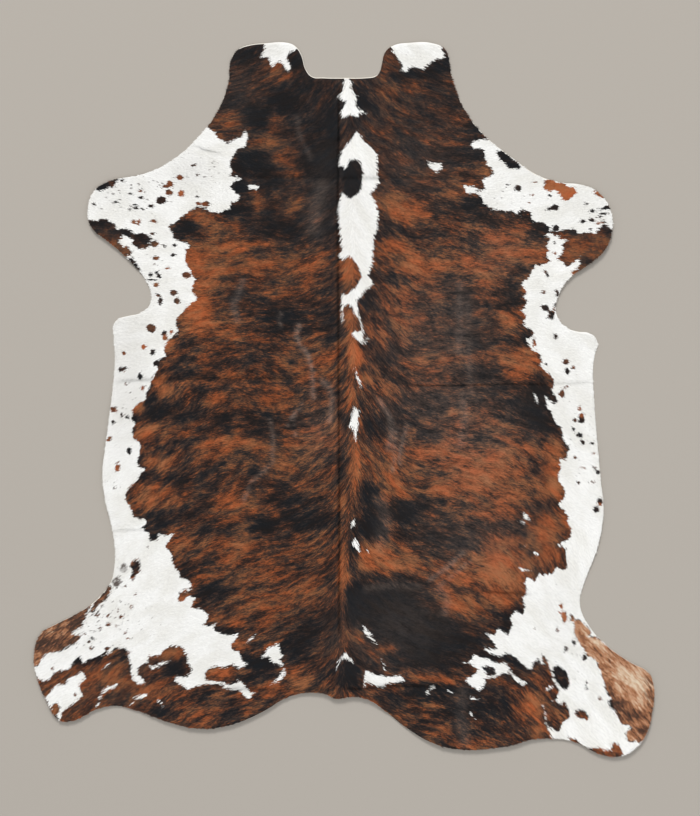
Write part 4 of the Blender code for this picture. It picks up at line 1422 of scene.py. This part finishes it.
def coat_material():
    """The hair: white, fawn, and a brindle of black, brown and rust, streaked as it is combed."""
    shader = Shader("cow hair")
    combed = shader.attribute("combed", "Vector")
    shade = shader.attribute("shade")
    along = shader.attribute("along")
    ragged = shader.attribute("ragged")
    tuft_edge = shader.grain(combed, "tuft edge") - GRAIN_MIDDLE
    tuft = shade - GRAIN_MIDDLE
    wander = tuft_edge * STRAY["with the hair"] + tuft * STRAY["from tuft to tuft"]
    whiteness = (shader.attribute("white") + wander * ragged).ease(*EASED["white"])

    streaks = shader.grain(combed, "streaks")
    bands = shader.grain(combed, "bands")
    clouds = shader.grain(combed, "clouds")
    mottle = shader.grain(combed, "mottle")
    tone = shader.attribute("tone")
    sleek = shader.attribute("sleek")
    rough = (1 - sleek * SLEEK_CALMS["all"]) * (ragged * (1 - LEAST_ROUGH) + LEAST_ROUGH)
    mix = DARK_MIX
    brindle = mix["start"] + tone * mix["tone"] + (clouds - GRAIN_MIDDLE) * mix["clouds"]
    brindle = brindle + sleek * mix["sleek"] + (mottle - GRAIN_MIDDLE) * sleek * mix["mottle"]
    banded = (bands - GRAIN_MIDDLE) * mix["bands"] * (rough - sleek * SLEEK_CALMS["bands"])
    streaked = (streaks - GRAIN_MIDDLE) * mix["streaks"] + tuft * mix["tufts"]
    brindle = brindle + banded + streaked * rough
    dark_hair = shader.ramp(brindle, hair_stops(DARK_HAIR))
    tint = shader.ramp(shader.grain(combed, "redness"), TINTS)
    dark_hair = shader.blend(1.0, dark_hair, tint, "MULTIPLY")
    # Painted sheen: the dark hair is blended towards grey, a reflection painted into its colour.
    sheen = shader.attribute("sheen") * (bands + streaks).ease(*EASED["sheen"])
    dark_hair = shader.blend(sheen, dark_hair, colour_of("sheen"))

    flecked = shader.attribute("flecks")
    fawn_mark = shader.attribute("fawn") + tuft_edge * STRAY["of the fawn"]
    mix = FAWN_MIX
    paleness = mix["start"] + tone * mix["tone"] + (streaks - GRAIN_MIDDLE) * mix["streaks"]
    paleness = paleness + (bands - GRAIN_MIDDLE) * mix["bands"]
    fawn_hair = shader.ramp(paleness, hair_stops(FAWN_HAIR))
    hatching = shader.grain(combed, "hatching").ease(*EASED["dark streaks"])
    dark_streaks = hatching * flecked.ease(*EASED["flecks with dark streaks"])
    streak = colour_of("dark streak in the fawn")
    fawn_hair = shader.blend(dark_streaks * DARK_STREAK_SHARE, fawn_hair, streak)
    dark_hair = shader.blend(fawn_mark.ease(*EASED["fawn"]), dark_hair, fawn_hair)

    across, down, layer = FLECK_CELL
    room = shader.stretched(combed, (1 / across, 1 / down, layer))
    cells = shader.node(
        "ShaderNodeTexVoronoi", {"voronoi_dimensions": "2D"}, {"Vector": room, "Scale": 1.0}
    )
    lots = shader.node("ShaderNodeSeparateColor", (), (cells.also("Color"),))
    size = (lots - 1 + flecked * FLECKS_FOR_STRENGTH) * FLECK_SIZE
    flecks = (size - cells).ease(*EASED["fleck"]) * shader.strength("fleck", lots.also("Green"))
    specks = shader.grain(combed, "specks").ease(*EASED["specks"])
    pepper = flecked.ease(*EASED["pepper"]) * shader.strength("pepper", specks)
    dullness = shader.grain(combed, "dull").ease(*EASED["dull"]) * DULL_SHARE
    greyness = shader.strength("grey streaks", flecked)
    white_hair = shader.blend(dullness, colour_of("white hair"), colour_of("dull white hair"))
    for share, name in (
        (streaks.ease(*EASED["grey streaks"]) * greyness, "grey hair"),
        # painted shade that greys the white hair where less light falls
        (shader.attribute("dulled"), "grey hair"),
        (flecks, "fleck"),
        (pepper, "pepper"),
    ):
        white_hair = shader.blend(share, white_hair, colour_of(name))

    colour = shader.blend(whiteness, dark_hair, white_hair)
    # Painted shade at each tuft's root, with a random tone from tuft to tuft, multiplied into the
    # colour.
    depth = shader.strength("painted shade at the root", along) * shader.strength("from tuft to tuft", shade)
    # Shade painted in the creases darkens the hair there.
    depth = depth * (1 - shader.attribute("crease") * CREASE_SHADE)
    grey = shader.node("ShaderNodeCombineColor", (), (depth, depth, depth))
    colour = shader.blend(1.0, colour, grey, "MULTIPLY")
    strands = shader.grain(combed, "strands")
    bump = shader.node("ShaderNodeBump", (), {**HAIR_BUMP, "Height": strands})
    roughness = shader.strength("roughness of dark and white hair", whiteness)
    return shader.finish(**{
        "Base Color": colour, "Roughness": roughness, "Normal": bump,
        "Specular IOR Level": HAIR_GLOSS,
    })


def leather_material():
    """The flesh side and the cut edge: pale, matt, split leather."""
    shader = Shader("split leather")
    place = shader.node("ShaderNodeTexCoord", (), (), "Object")
    clouds, nap = (
        shader.noise(shader.stretched(place, (to_a_metre,) * 3), *noise)
        for to_a_metre, *noise in LEATHER_GRAINS.values()
    )
    colour = shader.blend(clouds, colour_of("leather"), colour_of("pale leather"))
    colour = shader.blend(nap.ease(*EASED["nap"]) * NAP_SHARE, colour, colour_of("leather nap"))
    bump = shader.node("ShaderNodeBump", (), {**NAP_BUMP, "Height": nap})
    roughness = shader.strength("roughness of leather", nap)
    return shader.finish(**{"Base Color": colour, "Roughness": roughness, "Normal": bump})


def floor_material():
    """Plain and matt."""
    shader = Shader("pale floor")
    return shader.finish(**{"Base Color": colour_of("floor"), "Roughness": FLOOR_ROUGHNESS})


# --- the tufts -----------------------------------------------------------------------------------


def tuft_shape():
    """One tuft: a slim closed wedge that rises from its root at the origin to its tip at +X."""
    root, widest, tip = TUFT_ALONG
    vertices = np.array((
        (TUFT_LENGTH * root, 0, TUFT_ROOT),
        (TUFT_LENGTH * widest, TUFT_WIDTH / 2, TUFT_SIDE),
        (TUFT_LENGTH * widest, -TUFT_WIDTH / 2, TUFT_SIDE),
        (TUFT_LENGTH * tip, 0, TUFT_RISE),
    ))
    faces = np.array(((0, 2, 3), (0, 3, 1), (0, 1, 2), (1, 3, 2)))
    mesh = mesh_from("tuft", vertices, faces, smooth=False)
    put_attribute(mesh, "along", "FLOAT", (root, widest, widest, tip))
    return added("tuft", mesh)


def tuft_tree():
    """Grows tufts on a surface: each lies along the surface's "way", as long as its "reach"."""
    group = bpy.data.node_groups.new("tufts", "GeometryNodeTree")
    group.is_modifier = True
    for name, kind in TUFT_INPUTS.items():
        group.interface.new_socket(name, in_out="INPUT", socket_type="NodeSocket" + kind)
    group.interface.new_socket("Coat", in_out="OUTPUT", socket_type="NodeSocketGeometry")
    tree = Tree(group)
    given = {name: tree.node("NodeGroupInput", (), (), name) for name in TUFT_INPUTS}

    def random(low, high, seed):
        """A number for each tuft, between low and high."""
        values = {2: low, 3: high, "Seed": given["Seed"] + seed}
        return tree.node("FunctionNodeRandomValue", {"data_type": "FLOAT"}, values, 1)

    def kept(geometry, name, kind, value):
        """The geometry, with a named fact stored on its points."""
        values = {"Geometry": geometry, "Name": name, "Value": value}
        return tree.node("GeometryNodeStoreNamedAttribute", {"data_type": kind}, values)

    def fact(name, kind):
        """A named fact of the geometry."""
        return tree.node("GeometryNodeInputNamedAttribute", {"data_type": kind}, {"Name": name})

    roots = tree.node("GeometryNodeDistributePointsOnFaces", (), {
        "Mesh": given["Skin"], "Density": given["Tufts per square metre"], "Seed": given["Seed"],
    })
    normal = roots.also("Normal")
    place = tree.node("GeometryNodeInputPosition")
    roots = kept(roots, "shade", "FLOAT", random(0.0, 1.0, 1))
    roots = kept(roots, "root", "FLOAT_VECTOR", place)
    upright = tree.node("FunctionNodeAlignRotationToVector", {"axis": "Z"}, {"Vector": normal})
    combed = tree.node(
        "FunctionNodeAlignRotationToVector", {"axis": "X", "pivot_axis": "Z"},
        {"Rotation": upright, "Vector": fact("way", "FLOAT_VECTOR")},
    )
    turn = tree.node("ShaderNodeCombineXYZ", (), {"Z": random(-1.0, 1.0, 2) * given["Yaw"]})
    turned = tree.node(
        "FunctionNodeRotateRotation", {"rotation_space": "LOCAL"},
        {"Rotation": combed, "Rotate By": turn},
    )
    size = tree.node("ShaderNodeCombineXYZ", (), {
        "X": fact("reach", "FLOAT") * random(*TUFT_SIZES["long"], 3),
        "Y": random(*TUFT_SIZES["wide"], 4),
        "Z": random(*TUFT_SIZES["high"], 5),
    })
    shape = tree.node(
        "GeometryNodeObjectInfo", {"transform_space": "ORIGINAL"}, {"Object": given["Tuft"]},
        "Geometry",
    )
    standing = tree.node("GeometryNodeInstanceOnPoints", (), {
        "Points": roots, "Instance": shape, "Rotation": turned, "Scale": size,
    })
    real = tree.node("GeometryNodeRealizeInstances", (), {"Geometry": standing})
    reads = tree.node(
        "ShaderNodeMix", {"data_type": "VECTOR"},
        {0: FOLLOWS_PLACE, 4: fact("root", "FLOAT_VECTOR"), 5: place}, 1,
    )
    for name, kind in COAT_FACTS.items():
        values = {"Mesh": given["Skin"], "Value": fact(name, kind), "Sample Position": reads}
        read = tree.node("GeometryNodeSampleNearestSurface", {"data_type": kind}, values)
        real = kept(real, name, kind, read)
    dressed = tree.node(
        "GeometryNodeSetMaterial", (), {"Geometry": real, "Material": given["Material"]}
    )
    tree.node("NodeGroupOutput", (), {"Coat": dressed})
    return group


def band_of_skin(name, leather, faces, low, high):
    """A copy of the hair side between two places along the hide, for tufts to grow on."""
    places = corners_of(leather.data)
    along = places[faces, 1].mean(1)
    kept = faces[(along >= low) & (along < high)]
    used, corners = np.unique(kept, return_inverse=True)
    mesh = mesh_from(name, places[used], corners.reshape(-1, 3))
    for fact, kind in (COAT_FACTS | GROWTH_FACTS).items():
        put_attribute(mesh, fact, kind, numbers_of(leather.data, fact)[used])
    return added(name, mesh)


def lay_down(coat, skin):
    """Lets each tuft follow the skin's height all along, so that none bridges a crease."""
    places = corners_of(coat)
    lift = np.interp(numbers_of(coat, "along"), TUFT_ALONG, (TUFT_ROOT, TUFT_SIDE, TUFT_RISE))
    least, more = TUFT_LIFT
    lift *= least + more * numbers_of(coat, "shade")
    places[:, 2] = skin(places[:, :2]) + lift
    coat.vertices.foreach_set("co", places.ravel())
    coat.update()


def grown(band, tree, inputs, skin):
    """The band of skin turned into its tufts, as one plain mesh."""
    modifier = band.modifiers.new("tufts", "NODES")
    modifier.node_group = tree
    for item in tree.interface.items_tree:
        if item.in_out == "INPUT" and item.name in inputs:
            modifier[item.identifier] = inputs[item.name]
    bpy.context.view_layer.update()
    graph = bpy.context.evaluated_depsgraph_get()
    coat = bpy.data.meshes.new_from_object(band.evaluated_get(graph))
    band.modifiers.remove(modifier)
    bare, band.data = band.data, coat
    bpy.data.meshes.remove(bare)
    coat.name = band.name
    lay_down(coat, skin)
    flat_map(coat)
    return band


def coat_pieces(leather, faces, rim, skin, material):
    """The hair of the whole hide, one piece for each band."""
    tuft, tree = tuft_shape(), tuft_tree()
    low, high = rim.min(0), rim.max(0)
    area = shoelace(rim)
    pieces = []
    for number, (name, (start, end)) in enumerate(COAT_BANDS.items()):
        bottom = high[1] - (high[1] - low[1]) * end
        top = high[1] - (high[1] - low[1]) * start
        band = band_of_skin(name, leather, faces, bottom, top)
        inputs = {
            "Tuft": tuft, "Tufts per square metre": TUFTS / area, "Yaw": math.radians(TUFT_YAW),
            "Material": material, "Seed": SEED + number,
        }
        pieces.append(grown(band, tree, inputs, skin))
    bpy.data.objects.remove(tuft, do_unlink=True)
    return pieces


def shoelace(outline):
    """The area of a closed outline."""
    after = np.roll(outline, -1, 0)
    return abs((outline[:, 0] * after[:, 1] - outline[:, 1] * after[:, 0]).sum()) / 2


# --- floor, light and camera ---------------------------------------------------------------------


def pale_floor():
    """A wide, level floor."""
    bpy.ops.mesh.primitive_plane_add(size=FLOOR_SIZE)
    floor = bpy.context.object
    floor.name = "floor"
    floor.data.materials.append(floor_material())


def area_light(name, place, size, power, colour):
    """A round, soft lamp that points at the middle of the hide."""
    data = bpy.data.lights.new(name, "AREA")
    data.shape = "DISK"
    data.size, data.energy, data.color = size, power, colour
    light = added(name, data)
    light.location = place
    light.rotation_euler = (-Vector(place)).to_track_quat("-Z", "Y").to_euler()


def studio():
    """Soft light from beyond the neck, and a little from all round."""
    world = bpy.data.worlds.new("studio")
    world.use_nodes = True
    sky = world.node_tree.nodes["Background"].inputs
    sky["Color"].default_value = (1, 1, 1, 1)
    sky["Strength"].default_value = SKY_STRENGTH
    bpy.context.scene.world = world
    for name, lamp in LAMPS.items():
        area_light(name, *lamp)
    bpy.context.scene.view_settings.view_transform = "Standard"


def camera():
    """Straight above, with the photograph's frame on the floor."""
    place = on_hide(PICTURE_MIDDLE)
    data = bpy.data.cameras.new("camera")
    data.lens = data.sensor_width / 2 / (PICTURE_HEIGHT * PIXEL / 2 / CAMERA_HEIGHT)
    made = added("camera", data)
    made.location = (place[0], place[1], CAMERA_HEIGHT)
    bpy.context.scene.camera = made


# --- putting it together -------------------------------------------------------------------------


def rug():
    """The leather and its coats, fitted to the solid and attached to the root body, with the solid
    hidden.
    """
    solid = welded_solid()
    rim = rim_of(solid)
    underside, inside = underside_of(solid, rim), inside_of(rim)
    solid.free()
    lie = (combing(rim, 0), combing(rim, 1))
    hair = coat_material()

    def skin(places):
        """How high the hair side of the leather is."""
        return underside(places) + LEATHER_THICKNESS - crease_depth_and_shade(places)[0]

    materials = (hair, leather_material())
    leather, faces = leather_sheet(rim, underside, skin, inside, lie, materials)
    coats = coat_pieces(leather, faces, rim, skin, hair)
    for piece in (leather, *coats):
        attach(piece, "root")
        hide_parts("hide")


pale_floor()
studio()
camera()
rug()
